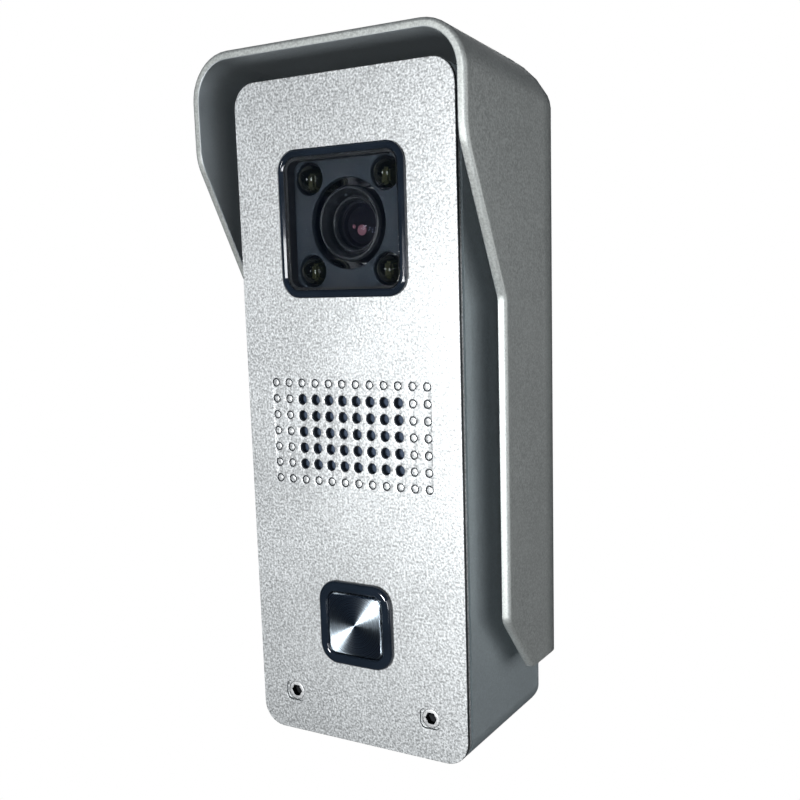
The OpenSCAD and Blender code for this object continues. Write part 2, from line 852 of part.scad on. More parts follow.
// One ring of a wire's outline at angle a of the spring's turn
function spring_ring(a, y, r, wire, sides) = [
    for (k = [0 : sides - 1])
        let (b = 360 * k / sides, rho = r + wire / 2 * cos(b))
            [rho * cos(a), y + wire / 2 * sin(b), rho * sin(a)]
];

// Return spring round the stem
module button_spring() {
    sides = 6;
    steps = 16 * spring_turns;
    y0 = button_lip_y + cap_flange_t + spring_wire / 2;
    y1 = face_y + button_neck_l - spring_wire / 2;
    rings = [
        for (i = [0 : steps])
            spring_ring(360 * spring_turns * i / steps, y0 + (y1 - y0) * i / steps,
                (spring_d - spring_wire) / 2, spring_wire, sides)
    ];
    points = [for (ring = rings) for (p = ring) p + [0, 0, button_z]];
    walls = [
        for (i = [0 : steps - 1], k = [0 : sides - 1])
            let (n = (k + 1) % sides)
                [i * sides + k, i * sides + n, (i + 1) * sides + n, (i + 1) * sides + k]
    ];
    ends = [
        [for (k = [sides - 1 : -1 : 0]) k],
        [for (k = [0 : sides - 1]) steps * sides + k]
    ];
    color(steel) polyhedron(points, concat(walls, ends));
}

// Plate that closes the neck, guides the stem and backs the spring. Two tubes on its ears
// hold the switch board at its distance
module button_guide() {
    y = face_y + button_neck_l;
    color(matt_black) difference() {
        union() {
            along_y(y, guide_t) translate([0, button_z]) {
                rounded_rect(18.4, 18.4, 2.4);
                rounded_rect(2 * button_post_x + 5.6, 6, 2);
            }
            for (side = [-1, 1])
                bar(side * button_post_x, y + guide_t - 0.1, button_z, post_d,
                    button_board_y - y - guide_t + 0.1);
        }
        bar(0, y - clear, button_z, stem_d + 0.3, guide_t + 2 * clear);
        for (side = [-1, 1])
            bar(side * button_post_x, y - clear, button_z, 1.9,
                button_board_y - y + 2 * clear);
    }
}

// Seal behind the panel, round the button's neck
module button_gasket() {
    color(rubber_black) along_y(panel_back_y, 0.8) translate([0, button_z]) difference() {
        rounded_rect(19, 19, 2.8);
        rounded_rect(button_neck_w + 0.1, button_neck_w + 0.1, 3);
    }
}

// Small board that carries the switch
module button_board() {
    color(board_green) difference() {
        along_y(button_board_y, board_t)
            translate([0, button_z]) rounded_rect(31, 20, 1.5);
        for (side = [-1, 1])
            bar(side * button_post_x, button_board_y - clear, button_z, 1.9,
                board_t + 2 * clear);
    }
}

// Body of the push switch
module switch_body() {
    color(matt_black) difference() {
        along_y(switch_y, button_board_y - switch_y)
            translate([0, button_z]) square([switch_w, switch_w], center = true);
        bar(0, switch_y - clear, button_z, plunger_d + 0.1,
            stem_end_y + plunger_l + button_travel + plunger_end_gap - switch_y + clear);
    }
}

// Plunger that the stem pushes into the switch
module switch_plunger() {
    color([0.85, 0.85, 0.82]) bar(0, stem_end_y, button_z, plunger_d, plunger_l);
}

module button_screw(side) {
    color(steel) pan_screw(side * button_post_x, button_board_y + board_t, button_z,
        small_screw_d, button_board_y + board_t - panel_back_y - button_post_l + 3.6, -1);
}

module button_screw_1() { button_screw(-1); }
module button_screw_2() { button_screw(1); }

// ---------------------------------------------------------------- microphone

// Rubber cup round the microphone, standing on the bottom wall
module mic_boot() {
    color(rubber_black) translate([0, mic_y, bottom_z + wall_t]) difference() {
        cylinder(d = 8.4, h = 5);
        translate([0, 0, 1]) cylinder(d = 6.1, h = 5);
        translate([0, 0, -clear]) cylinder(d = 1.8, h = 3);
    }
}

module microphone() {
    color(steel) translate([0, mic_y, bottom_z + wall_t + 1]) cylinder(d = 6, h = 2.7);
}

// ---------------------------------------------------------------- main board

module main_board() {
    color(board_green) difference() {
        along_y(main_board_y, main_board_t) translate([0, z_at(main_board_h)])
            rounded_rect(main_board_w, main_board_l, 1.5);
        for (s = board_screws)
            bar(s[0] * board_hole_x, main_board_y - clear,
                z_at(main_board_h) + s[1] * board_hole_dz, 2.4, main_board_t + 2 * clear);
    }
}

// Flat chip on the main board, w wide and h high, centred at x and z
module chip(x, z, w, h, t) {
    color([0.10, 0.10, 0.11])
        translate([x - w / 2, main_board_y - t, z - h / 2]) cube([w, t, h]);
}

module processor_chip() { chip(0, z_at(88), 12, 12, 1.2); }
module audio_chip() { chip(-3, z_at(67), 8, 5, 1.5); }

// Upright capacitor with a scored top
module capacitor(x) {
    color([0.20, 0.22, 0.34]) difference() {
        bar(x, main_board_y - 7.5, z_at(55), 6.3, 7.5);
        for (turn = [0, 90])
            translate([x, main_board_y - 7.5, z_at(55)]) rotate([0, turn, 0])
                cube([4.4, 0.4, 0.4], center = true);
    }
}

module capacitor_1() { capacitor(-7.6); }
module capacitor_2() { capacitor(0.4); }

// Four-way terminal for the door cable, at the lower end of the main board
module terminal_block() {
    ways = 4;
    pitch = 3.5;
    w = ways * pitch;
    depth = 7;
    h = 6.5;
    left = 1.4 - w / 2;
    z = z_at(main_board_h) - main_board_l / 2 - 0.5;
    color([0.10, 0.35, 0.20]) difference() {
        translate([left, main_board_y - depth, z]) cube([w, depth, h]);
        for (i = [0 : ways - 1]) {
            x = left + (i + 0.5) * pitch;
            bar(x, main_board_y - depth - clear, z + h / 2 + 0.6, 2.5, 2.5);
            translate([x - 1.1, main_board_y - 4, z - clear]) cube([2.2, 2.6, 2.5]);
        }
    }
}

module board_screw(i) {
    s = board_screws[i];
    color(steel) pan_screw(s[0] * board_hole_x, main_board_y,
        z_at(main_board_h) + s[1] * board_hole_dz, 2, main_board_t + 2, 1);
}

module board_screw_1() { board_screw(0); }
module board_screw_2() { board_screw(1); }
module board_screw_3() { board_screw(2); }
module board_screw_4() { board_screw(3); }

// ---------------------------------------------------------------- outer fasteners

// Socket screw in a recess of the front panel
module panel_screw(side) {
    head_y = face_y + pocket_depth;
    shank_d = 2.5;
    color(steel) difference() {
        union() {
            bar(side * panel_screw_x, head_y, z_at(panel_screw_h), screw_head_d, screw_head_t);
            bar(side * panel_screw_x, head_y + screw_head_t - 0.1, z_at(panel_screw_h),
                shank_d, 9);
        }
        translate([side * panel_screw_x, head_y - clear, z_at(panel_screw_h)])
            rotate([-90, 0, 0]) cylinder(d = 2.3, h = clear + 1, $fn = 6);
    }
}

module panel_screw_1() { panel_screw(-1); }
module panel_screw_2() { panel_screw(1); }

// Screw from inside the housing into the hood's back wall
module housing_screw(i) {
    p = housing_screws[i];
    color(steel) pan_screw(p[0], housing_inner_y, z_at(p[1]), 2.5, wall_t + hood_t - 0.2, 1);
}

module housing_screw_1() { housing_screw(0); }
module housing_screw_2() { housing_screw(1); }

// Rubber grommet in the housing's back wall, for the door cable
module cable_grommet() {
    z = z_at(cable_h);
    color(rubber_black) difference() {
        union() {
            bar(0, housing_inner_y - 1.4, z, grommet_d + 3, 1.4);
            bar(0, housing_inner_y - 0.1, z, grommet_d - 0.1, wall_t + 0.2);
            bar(0, housing_back_y, z, grommet_d + 2.6, 1.5);
        }
        bar(0, housing_inner_y - 1.4 - clear, z, cable_d, wall_t + 3 + 2 * clear);
    }
}

// ---------------------------------------------------------------- assembly

rain_hood();
hood_back_plate();
housing();
rear_cover();
front_panel();
panel_gasket();
window_bezel();
window_pane();
pane_gasket();
camera_mask();
camera_cage();
ir_led_1();
ir_led_2();
ir_led_3();
ir_led_4();
led_board();
lens_barrel();
lens_front_glass();
lens_retainer();
lens_lock_ring();
lens_holder();
image_sensor();
camera_board();
camera_screw_1();
camera_screw_2();
grille_mesh();
speaker_gasket();
speaker_frame();
speaker_cone();
speaker_magnet();
speaker_clamp();
speaker_screw_1();
speaker_screw_2();
button_bezel();
button_cap();
button_spring();
button_guide();
button_gasket();
button_board();
switch_body();
switch_plunger();
button_screw_1();
button_screw_2();
mic_boot();
microphone();
main_board();
processor_chip();
audio_chip();
capacitor_1();
capacitor_2();
terminal_block();
board_screw_1();
board_screw_2();
board_screw_3();
board_screw_4();
panel_screw_1();
panel_screw_2();
housing_screw_1();
housing_screw_2();
cable_grommet();
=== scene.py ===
import math

import bmesh
import bpy
from mathutils import Euler, Matrix, Vector
from mathutils.geometry import delaunay_2d_cdt


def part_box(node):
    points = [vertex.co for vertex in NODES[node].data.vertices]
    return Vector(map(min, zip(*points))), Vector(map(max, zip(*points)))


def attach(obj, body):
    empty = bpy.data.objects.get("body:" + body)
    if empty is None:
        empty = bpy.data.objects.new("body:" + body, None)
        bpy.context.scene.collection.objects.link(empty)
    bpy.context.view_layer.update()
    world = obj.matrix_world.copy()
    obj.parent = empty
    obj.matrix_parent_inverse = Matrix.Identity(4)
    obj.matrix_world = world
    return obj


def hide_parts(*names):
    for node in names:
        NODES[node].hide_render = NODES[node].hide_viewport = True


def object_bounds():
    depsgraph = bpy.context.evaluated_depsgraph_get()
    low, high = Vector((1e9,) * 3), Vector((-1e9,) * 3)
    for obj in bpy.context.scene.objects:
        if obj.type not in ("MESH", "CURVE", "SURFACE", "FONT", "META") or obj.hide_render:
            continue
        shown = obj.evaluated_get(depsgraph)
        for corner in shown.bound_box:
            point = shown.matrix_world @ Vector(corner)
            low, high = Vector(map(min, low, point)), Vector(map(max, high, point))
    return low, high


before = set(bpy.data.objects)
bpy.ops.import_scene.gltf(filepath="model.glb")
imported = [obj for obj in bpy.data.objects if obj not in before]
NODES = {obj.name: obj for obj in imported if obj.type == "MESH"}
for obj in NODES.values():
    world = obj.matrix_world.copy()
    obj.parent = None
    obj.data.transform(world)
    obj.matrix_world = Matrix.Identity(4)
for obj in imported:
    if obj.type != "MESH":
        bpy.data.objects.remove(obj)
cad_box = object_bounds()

# Looks of a slim door intercom panel: a sand-blasted front with a camera window, a grille and
# a call button, in a deep housing that stands in a sheet-metal rain hood. Pieces are drawn in
# millimetres in the shared frame and turned into metres when they are finished. X is to the
# right of a visitor, the wall is the plane Y = 0 and the front faces -Y, and Z is up.

MM = 0.001
QUARTER = math.pi / 2


# ---------------------------------------------------------------- sizes taken from the frame

def box(node):
    """Lowest and highest corner of a CAD node, in millimetres."""
    low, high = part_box(node)
    return low / MM, high / MM


def middle(node):
    """Centre of a CAD node's box, in millimetres."""
    low, high = box(node)
    return (low + high) / 2


# ---------------------------------------------------------------- outlines and paths

def rounded(w, h, r, x=0.0, z=0.0, steps=8):
    """Points of a rectangle with round corners, anticlockwise as a visitor sees it."""
    points = []
    for quarter, (sx, sz) in enumerate([(1, 1), (-1, 1), (-1, -1), (1, -1)]):
        for i in range(steps + 1):
            a = QUARTER * (quarter + i / steps)
            points.append((x + sx * (w / 2 - r) + r * math.cos(a),
                           z + sz * (h / 2 - r) + r * math.sin(a)))
    return points


def disc(r, x=0.0, z=0.0, steps=8):
    """Points of a circle, as many as a rounded rectangle has."""
    return rounded(2 * r, 2 * r, r, x, z, steps)


def hexagon(r, x, z):
    """Points of a hexagon with corner radius r, as many as a rounded rectangle has."""
    points = []
    side = math.pi / 3
    for px, pz in disc(1.0):
        a = math.atan2(pz, px) % side - side / 2
        reach = r * math.cos(side / 2) / math.cos(a)
        points.append((x + reach * px, z + reach * pz))
    return points


def rect_edge(w, h, r, x, z, least_r=0.1):
    """Outline function of a plate's outer edge, drawn in by its argument."""
    return lambda d: rounded(w - 2 * d, h - 2 * d, max(r - d, least_r), x, z)


def rect_hole(w, h, r, x, z):
    """Outline function of a hole with four sides, drawn into the plate by its argument."""
    return lambda d: rounded(w + 2 * d, h + 2 * d, r + d, x, z)


def round_hole(r, x, z, steps=6):
    """Outline function of a round hole, drawn into the plate by its argument."""
    return lambda d: disc(r + d, x, z, steps)


def rounded_path(corners, steps):
    """Points of a path whose corners are (a, b, radius), with an arc at each corner."""
    points = []
    for i, (a, b, radius) in enumerate(corners):
        here = Vector((a, b))
        if radius == 0:
            points.append(here)
            continue
        back = (Vector(corners[i - 1][:2]) - here).normalized()
        ahead = (Vector(corners[i + 1][:2]) - here).normalized()
        half = back.angle(ahead) / 2
        start = here + back * radius / math.tan(half)
        centre = here + (back + ahead).normalized() * radius / math.sin(half)
        turn = math.pi - 2 * half
        if back.x * ahead.y - back.y * ahead.x > 0:
            turn = -turn
        for k in range(steps + 1):
            points.append(centre + Matrix.Rotation(turn * k / steps, 2) @ (start - centre))
    return points


# ---------------------------------------------------------------- mesh tools

def ring(bm, outline, y):
    """Vertices of an outline at depth y."""
    return [bm.verts.new((x, y, z)) for x, z in outline]


def bridge(bm, rings, closed=False):
    """Joins each ring of vertices to the next one with four-sided faces."""
    pairs = list(zip(rings, rings[1:]))
    if closed:
        pairs.append((rings[-1], rings[0]))
    for a, b in pairs:
        for i in range(len(a)):
            j = (i + 1) % len(a)
            bm.faces.new((a[i], a[j], b[j], b[i]))


def fill(bm, outer, holes):
    """Flat face between a loop of vertices and the loops of its holes."""
    loops = [outer, *holes]
    points = [Vector((v.co.x, v.co.z)) for loop in loops for v in loop]
    vertices = [v for loop in loops for v in loop]
    faces = []
    start = 0
    for loop in loops:
        faces.append(list(range(start, start + len(loop))))
        start += len(loop)
    found = delaunay_2d_cdt(points, [], faces, 1, 1e-7)
    triangles, sources, origins = found[2], found[3], found[5]
    for triangle, origin in zip(triangles, origins):
        if list(origin) == [0]:
            bm.faces.new([vertices[sources[v][0]] for v in triangle])


def rim(bm, outline, y, way, q, steps=3):
    """Rounded edge of radius q, from the flat face at y round into the wall behind it."""
    rings = []
    for i in range(steps + 1):
        a = QUARTER * i / steps
        rings.append(ring(bm, outline(q * (1 - math.sin(a))), y + way * q * (1 - math.cos(a))))
    return rings


def sweep_outline(bm, outline, profile):
    """Closed band whose section is profile, points of (distance drawn in, y)."""
    bridge(bm, [ring(bm, outline(d), y) for d, y in profile], closed=True)


def lathe(bm, profile, x, z, closed=True, steps=16):
    """Body of revolution about a line along Y, with a profile of (radius, y) points."""
    bridge(bm, [ring(bm, disc(r, x, z, steps), y) for r, y in profile], closed)


def tidy(bm):
    """Merges vertices that coincide and turns every face outwards."""
    bmesh.ops.remove_doubles(bm, verts=bm.verts, dist=1e-4)
    bmesh.ops.dissolve_degenerate(bm, edges=bm.edges, dist=1e-5)
    bmesh.ops.recalc_face_normals(bm, faces=bm.faces)


SHARP_ANGLE = 40
FLAT_FACE_WEIGHT = 95


def soften(obj, width, angle=SHARP_ANGLE):
    """Rounds the sharp edges of a piece a little and evens out its shading."""
    if width:
        bevel = obj.modifiers.new("edges", "BEVEL")
        bevel.width = width * MM
        bevel.segments = 2
        bevel.limit_method = "ANGLE"
        bevel.angle_limit = math.radians(angle)
    even = obj.modifiers.new("shading", "WEIGHTED_NORMAL")
    even.keep_sharp = True
    even.weight = FLAT_FACE_WEIGHT


def add_piece(name, bm, material, body="root", stands_for=(), edge=0.0):
    """Makes a piece from a mesh in millimetres. It rides on a body and replaces CAD nodes."""
    tidy(bm)
    bmesh.ops.scale(bm, vec=(MM, MM, MM), verts=bm.verts)
    mesh = bpy.data.meshes.new(name)
    bm.to_mesh(mesh)
    bm.free()
    mesh.shade_smooth()
    mesh.set_sharp_from_angle(angle=math.radians(SHARP_ANGLE))
    mesh.materials.append(material)
    obj = bpy.data.objects.new(name, mesh)
    bpy.context.scene.collection.objects.link(obj)
    soften(obj, edge)
    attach(obj, body)
    if stands_for:
        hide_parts(*stands_for)
    return obj


# ---------------------------------------------------------------- material tools

def new_material(name, colour, metallic=0.0, roughness=0.5):
    """A material with its Principled shader, ready for more nodes."""
    material = bpy.data.materials.new(name)
    material.use_nodes = True
    tree = material.node_tree
    shader = tree.nodes["Principled BSDF"]
    shader.inputs["Base Color"].default_value = (*colour, 1)
    shader.inputs["Metallic"].default_value = metallic
    shader.inputs["Roughness"].default_value = roughness
    return material, tree, shader


def place(tree):
    """Coordinates on the piece, in metres."""
    return tree.nodes.new("ShaderNodeTexCoord").outputs["Object"]


def noise(tree, size, detail=2.0):
    """Soft random pattern whose spots are about size millimetres across."""
    node = tree.nodes.new("ShaderNodeTexNoise")
    node.inputs["Scale"].default_value = 1 / (size * MM)
    node.inputs["Detail"].default_value = detail
    tree.links.new(place(tree), node.inputs["Vector"])
    return node.outputs["Fac"]


def levels(tree, value, low, high, start=0.3, end=0.7):
    """A pattern spread between two values, from start to end of its own range."""
    node = tree.nodes.new("ShaderNodeMapRange")
    node.inputs["From Min"].default_value = start
    node.inputs["From Max"].default_value = end
    node.inputs["To Min"].default_value = low
    node.inputs["To Max"].default_value = high
    tree.links.new(value, node.inputs["Value"])
    return node.outputs["Result"]


def combine(tree, operation, a, b):
    """Two patterns, or a pattern and a number, joined by a maths operation."""
    node = tree.nodes.new("ShaderNodeMath")
    node.operation = operation
    for socket, value in zip(node.inputs, (a, b)):
        if isinstance(value, (int, float)):
            socket.default_value = value
        else:
            tree.links.new(value, socket)
    return node.outputs["Value"]


def tint(tree, factor, first, second):
    """Colour between two colours."""
    node = tree.nodes.new("ShaderNodeMix")
    node.data_type = "RGBA"
    node.inputs["A"].default_value = (*first, 1)
    node.inputs["B"].default_value = (*second, 1)
    tree.links.new(factor, node.inputs["Factor"])
    return node.outputs["Result"]


def relief(tree, shader, height, depth):
    """Surface relief of depth millimetres from a pattern."""
    node = tree.nodes.new("ShaderNodeBump")
    node.inputs["Distance"].default_value = depth * MM
    tree.links.new(height, node.inputs["Height"])
    tree.links.new(node.outputs["Normal"], shader.inputs["Normal"])


# ---------------------------------------------------------------- materials

def scaled(colour, factor):
    """A colour made lighter or darker."""
    return tuple(min(c * factor, 1.0) for c in colour)


def blasted_metal(name, colour, grain, spread, depth, roughness=0.5):
    """Sand-blasted, silver-coated metal with light and dark grains."""
    material, tree, shader = new_material(name, colour, 0.75, roughness)
    spots = noise(tree, grain, 3.0)
    drift = noise(tree, 18.0)
    drift_share = 0.15
    tone = combine(tree, "ADD", combine(tree, "MULTIPLY", spots, 1 - drift_share),
                   combine(tree, "MULTIPLY", drift, drift_share))
    dark = scaled(colour, 1 - spread)
    light = scaled(colour, 1 + spread)
    coat = tint(tree, levels(tree, tone, 0, 1, 0.36, 0.64), dark, light)
    tree.links.new(coat, shader.inputs["Base Color"])
    tree.links.new(levels(tree, spots, roughness - 0.06, roughness + 0.08),
                   shader.inputs["Roughness"])
    relief(tree, shader, spots, depth)
    return material


def position(tree):
    """Sockets with the place on the piece along each axis, in metres."""
    source = tree.nodes.new("ShaderNodeSeparateXYZ")
    tree.links.new(place(tree), source.inputs["Vector"])
    return source.outputs["X"], source.outputs["Y"], source.outputs["Z"]


def recolour(material, factor, colour):
    """Mixes a colour into a material's own colour, as much as a pattern says."""
    tree = material.node_tree
    base = tree.nodes["Principled BSDF"].inputs["Base Color"]
    mix = tree.nodes.new("ShaderNodeMix")
    mix.data_type = "RGBA"
    mix.inputs["B"].default_value = (*colour, 1)
    tree.links.new(factor, mix.inputs["Factor"])
    tree.links.new(base.links[0].from_socket, mix.inputs["A"])
    tree.links.new(mix.outputs["Result"], base)


def between(tree, value, start, end, blur):
    """One where a length lies between two limits in millimetres, and nought elsewhere."""
    after = levels(tree, value, 0, 1, (start - blur) * MM, (start + blur) * MM)
    before = levels(tree, value, 1, 0, (end - blur) * MM, (end + blur) * MM)
    return combine(tree, "MULTIPLY", after, before)


THIN_BLUR = 0.02
FAR_OUT = 100.0
ANY_SIDE = (-1.0, FAR_OUT)


def darker_between(material, start, end, colour, sides=ANY_SIDE, blur=THIN_BLUR):
    """Paints shade: gives what lies between two depths a darker colour, within distances from the
    middle.
    """
    tree = material.node_tree
    x, y, _ = position(tree)
    across = between(tree, combine(tree, "ABSOLUTE", x, 0), *sides, THIN_BLUR)
    recolour(material, combine(tree, "MULTIPLY", between(tree, y, start, end, blur), across),
             colour)


def darker_inside_hood(material, colour):
    """Gives the hood's inner faces, which gather no light, a darker colour."""
    tree = material.node_tree
    x, y, z = position(tree)
    high = box("rain_hood")[1]
    beside = combine(tree, "SUBTRACT", combine(tree, "ABSOLUTE", x, 0),
                     (high.x - HOOD_CORNER) * MM)
    above = combine(tree, "SUBTRACT", z, (high.z - HOOD_CORNER) * MM)
    squares = [combine(tree, "POWER", combine(tree, "MAXIMUM", part, 0.0), 2.0)
               for part in (beside, above)]
    reach = combine(tree, "POWER", combine(tree, "ADD", *squares), 0.5)
    inner_r = HOOD_CORNER - HOOD_T
    inside = levels(tree, reach, 1, 0, (inner_r + 0.05) * MM, (inner_r + 0.3) * MM)
    fade_start, fade_end = -14, -8
    ahead = levels(tree, y, 1, 0, fade_start * MM, fade_end * MM)
    recolour(material, combine(tree, "MULTIPLY", inside, ahead), colour)


def moulded(name, colour, roughness, grain=0.4, depth=0.004, variation=0.12, gloss=0.5):
    """Moulded plastic or rubber with a faint grain."""
    material, tree, shader = new_material(name, colour, 0.0, roughness)
    shader.inputs["Specular IOR Level"].default_value = gloss
    spots = noise(tree, grain, 4.0)
    drift = noise(tree, 6.0)
    tree.links.new(tint(tree, levels(tree, drift, 0, 1), scaled(colour, 1 - variation),
                        scaled(colour, 1 + variation)), shader.inputs["Base Color"])
    tree.links.new(levels(tree, drift, roughness * 0.85, min(roughness * 1.15, 1.0)),
                   shader.inputs["Roughness"])
    relief(tree, shader, spots, depth)
    return material


def gloss_plastic(name, colour, roughness=0.09):
    """Polished black plastic with faint orange peel and a clear coat."""
    material = moulded(name, colour, roughness, 1.6, 0.0015, 0.2)
    shader = material.node_tree.nodes["Principled BSDF"]
    shader.inputs["Coat Weight"].default_value = 0.6
    shader.inputs["Coat Roughness"].default_value = 0.04
    return material


def bare_metal(name, colour, roughness):
    """Turned or pressed metal with fine marks and faint stains."""
    material, tree, shader = new_material(name, colour, 1.0, roughness)
    marks = noise(tree, 0.15, 3.0)
    stains = noise(tree, 2.5, 3.0)
    tree.links.new(tint(tree, levels(tree, stains, 0, 1), scaled(colour, 0.82),
                        scaled(colour, 1.08)), shader.inputs["Base Color"])
    tree.links.new(levels(tree, stains, roughness * 0.8, roughness * 1.25),
                   shader.inputs["Roughness"])
    relief(tree, shader, marks, 0.003)
    return material


def distance_from_axis(tree, x, z):
    """Distance in millimetres from a line along Y."""
    shift = tree.nodes.new("ShaderNodeVectorMath")
    shift.operation = "SUBTRACT"
    shift.inputs[1].default_value = (x * MM, 0, z * MM)
    tree.links.new(place(tree), shift.inputs[0])
    flat = tree.nodes.new("ShaderNodeVectorMath")
    flat.operation = "MULTIPLY"
    flat.inputs[1].default_value = (1 / MM, 0, 1 / MM)
    tree.links.new(shift.outputs["Vector"], flat.inputs[0])
    length = tree.nodes.new("ShaderNodeVectorMath")
    length.operation = "LENGTH"
    tree.links.new(flat.outputs["Vector"], length.inputs[0])
    return length.outputs["Value"]


def spun_metal(name, colour, x, z):
    """Dark metal with fine circular turning marks round a centre."""
    material, tree, shader = new_material(name, colour, 1.0, 0.24)
    shader.inputs["Anisotropic"].default_value = 0.95
    shader.inputs["Anisotropic Rotation"].default_value = 0.25
    tangent = tree.nodes.new("ShaderNodeTangent")
    tangent.direction_type = "RADIAL"
    tangent.axis = "Y"
    tree.links.new(tangent.outputs["Tangent"], shader.inputs["Tangent"])
    radius = distance_from_axis(tree, x, z)
    marks = tree.nodes.new("ShaderNodeTexNoise")
    marks.noise_dimensions = "1D"
    marks.inputs["Scale"].default_value = 9.0
    marks.inputs["Detail"].default_value = 3.0
    tree.links.new(radius, marks.inputs["W"])
    tree.links.new(tint(tree, levels(tree, marks.outputs["Fac"], 0, 1), scaled(colour, 0.7),
                        scaled(colour, 1.2)), shader.inputs["Base Color"])
    tree.links.new(levels(tree, marks.outputs["Fac"], 0.25, 0.30), shader.inputs["Roughness"])
    return material


def clear_glass(name, colour, roughness=0.0, ior=1.5):
    """Clear glass or epoxy with a few faint smears on it."""
    material, tree, shader = new_material(name, colour, 0.0, roughness)
    shader.inputs["Transmission Weight"].default_value = 1.0
    shader.inputs["IOR"].default_value = ior
    smears = noise(tree, 3.0, 3.0)
    tree.links.new(levels(tree, smears, roughness, roughness + 0.03, 0.5, 0.75),
                   shader.inputs["Roughness"])
    return material


def circuit_board(name, colour):
    """Lacquered board with paler copper tracks under its lacquer."""
    material, tree, shader = new_material(name, colour, 0.0, 0.35)
    tracks = tree.nodes.new("ShaderNodeTexBrick")
    tracks.inputs["Scale"].default_value = 1 / (2.4 * MM)
    tracks.inputs["Mortar Size"].default_value = 0.05
    for socket, factor in [("Color1", 0.8), ("Color2", 1.1), ("Mortar", 2.2)]:
        tracks.inputs[socket].default_value = (*scaled(colour, factor), 1)
    turn = tree.nodes.new("ShaderNodeMapping")
    turn.inputs["Rotation"].default_value = (QUARTER, 0, 0)
    tree.links.new(place(tree), turn.inputs["Vector"])
    tree.links.new(turn.outputs["Vector"], tracks.inputs["Vector"])
    tree.links.new(tracks.outputs["Color"], shader.inputs["Base Color"])
    relief(tree, shader, tracks.outputs["Fac"], 0.02)
    return material


def woven_cloth(name):
    """Black dust cloth with an open weave."""
    material, tree, shader = new_material(name, (0.012, 0.013, 0.014), 0.0, 0.9)
    waves = []
    for axis in ("X", "Z"):
        wave = tree.nodes.new("ShaderNodeTexWave")
        wave.bands_direction = axis
        wave.inputs["Scale"].default_value = 1 / (0.9 * MM)
        tree.links.new(place(tree), wave.inputs["Vector"])
        waves.append(wave.outputs["Fac"])
    weave = combine(tree, "MAXIMUM", waves[0], waves[1])
    tree.links.new(tint(tree, weave, (0.02, 0.03, 0.05), (0.06, 0.085, 0.13)),
                   shader.inputs["Base Color"])
    relief(tree, shader, weave, 0.06)
    return material


button_spot = middle("button_cap")
MATERIALS = {
    "hood_metal": blasted_metal("hood_metal", (0.49, 0.515, 0.50), 0.35, 0.16, 0.012),
    "panel_metal": blasted_metal("panel_metal", (0.55, 0.57, 0.575), 0.42, 0.36, 0.03,
                                 roughness=0.45),
    "housing_metal": blasted_metal("housing_metal", (0.45, 0.51, 0.53), 0.35, 0.08, 0.008),
    "gloss_black": gloss_plastic("gloss_black", (0.010, 0.015, 0.023)),
    "button_metal": spun_metal("button_metal", (0.62, 0.72, 0.80), button_spot.x,
                               button_spot.z),
    "clear_pane": clear_glass("clear_pane", (0.93, 0.96, 1.0)),
    "lens_glass": clear_glass("lens_glass", (0.66, 0.68, 0.76), 0.0, 1.15),
    "lamp_epoxy": clear_glass("lamp_epoxy", (0.55, 0.57, 0.38), 0.02),
    "matt_black": moulded("matt_black", (0.010, 0.013, 0.018), 0.6, 0.3, 0.003, gloss=0.2),
    "barrel_black": moulded("barrel_black", (0.006, 0.007, 0.008), 0.34, 0.25, 0.001, gloss=0.25),
    "rubber": moulded("rubber", (0.006, 0.007, 0.008), 0.75, 0.5, 0.01, gloss=0.2),
    "screw_steel": bare_metal("screw_steel", (0.55, 0.56, 0.57), 0.32),
    "panel_screw_steel": blasted_metal("panel_screw_steel", (0.56, 0.57, 0.575), 0.42, 0.2, 0.02),
    "spring_steel": bare_metal("spring_steel", (0.50, 0.50, 0.49), 0.25),
    "speaker_steel": bare_metal("speaker_steel", (0.60, 0.60, 0.60), 0.38),
    "speaker_paper": moulded("speaker_paper", (0.02, 0.02, 0.021), 0.9, 0.6, 0.03),
    "mesh_cloth": woven_cloth("mesh_cloth"),
    "circuit_board": circuit_board("circuit_board", (0.02, 0.15, 0.06)),
    "black_board": circuit_board("black_board", (0.006, 0.007, 0.009)),
    "chip_plastic": moulded("chip_plastic", (0.015, 0.015, 0.016), 0.5, 0.3, 0.004),
    "sensor_glass": gloss_plastic("sensor_glass", (0.02, 0.03, 0.07), 0.06),
    "terminal_plastic": moulded("terminal_plastic", (0.03, 0.16, 0.06), 0.42, 0.5, 0.005),
    "plunger_plastic": moulded("plunger_plastic", (0.62, 0.62, 0.58), 0.45, 0.5, 0.004),
    "lamp_metal": moulded("lamp_metal", (0.010, 0.011, 0.005), 0.7, gloss=0.1),
    "mask_black": moulded("mask_black", (0.006, 0.009, 0.012), 0.75, 0.3, 0.003, gloss=0.15),
    "lens_dark": moulded("lens_dark", (0.002, 0.002, 0.003), 0.7, 0.25, 0.001, gloss=0.05),
    # Pink of the bulges that paint the coated element's glints: painted reflection
    "painted_lens_reflection": moulded("painted_lens_reflection", (0.11, 0.05, 0.055), 0.6, gloss=0.02),
}


def dress_frame():
    """Gives each CAD node the material of its slot."""
    for obj in NODES.values():
        for slot in obj.material_slots:
            slot.material = MATERIALS[slot.material.name.split(".")[0]]


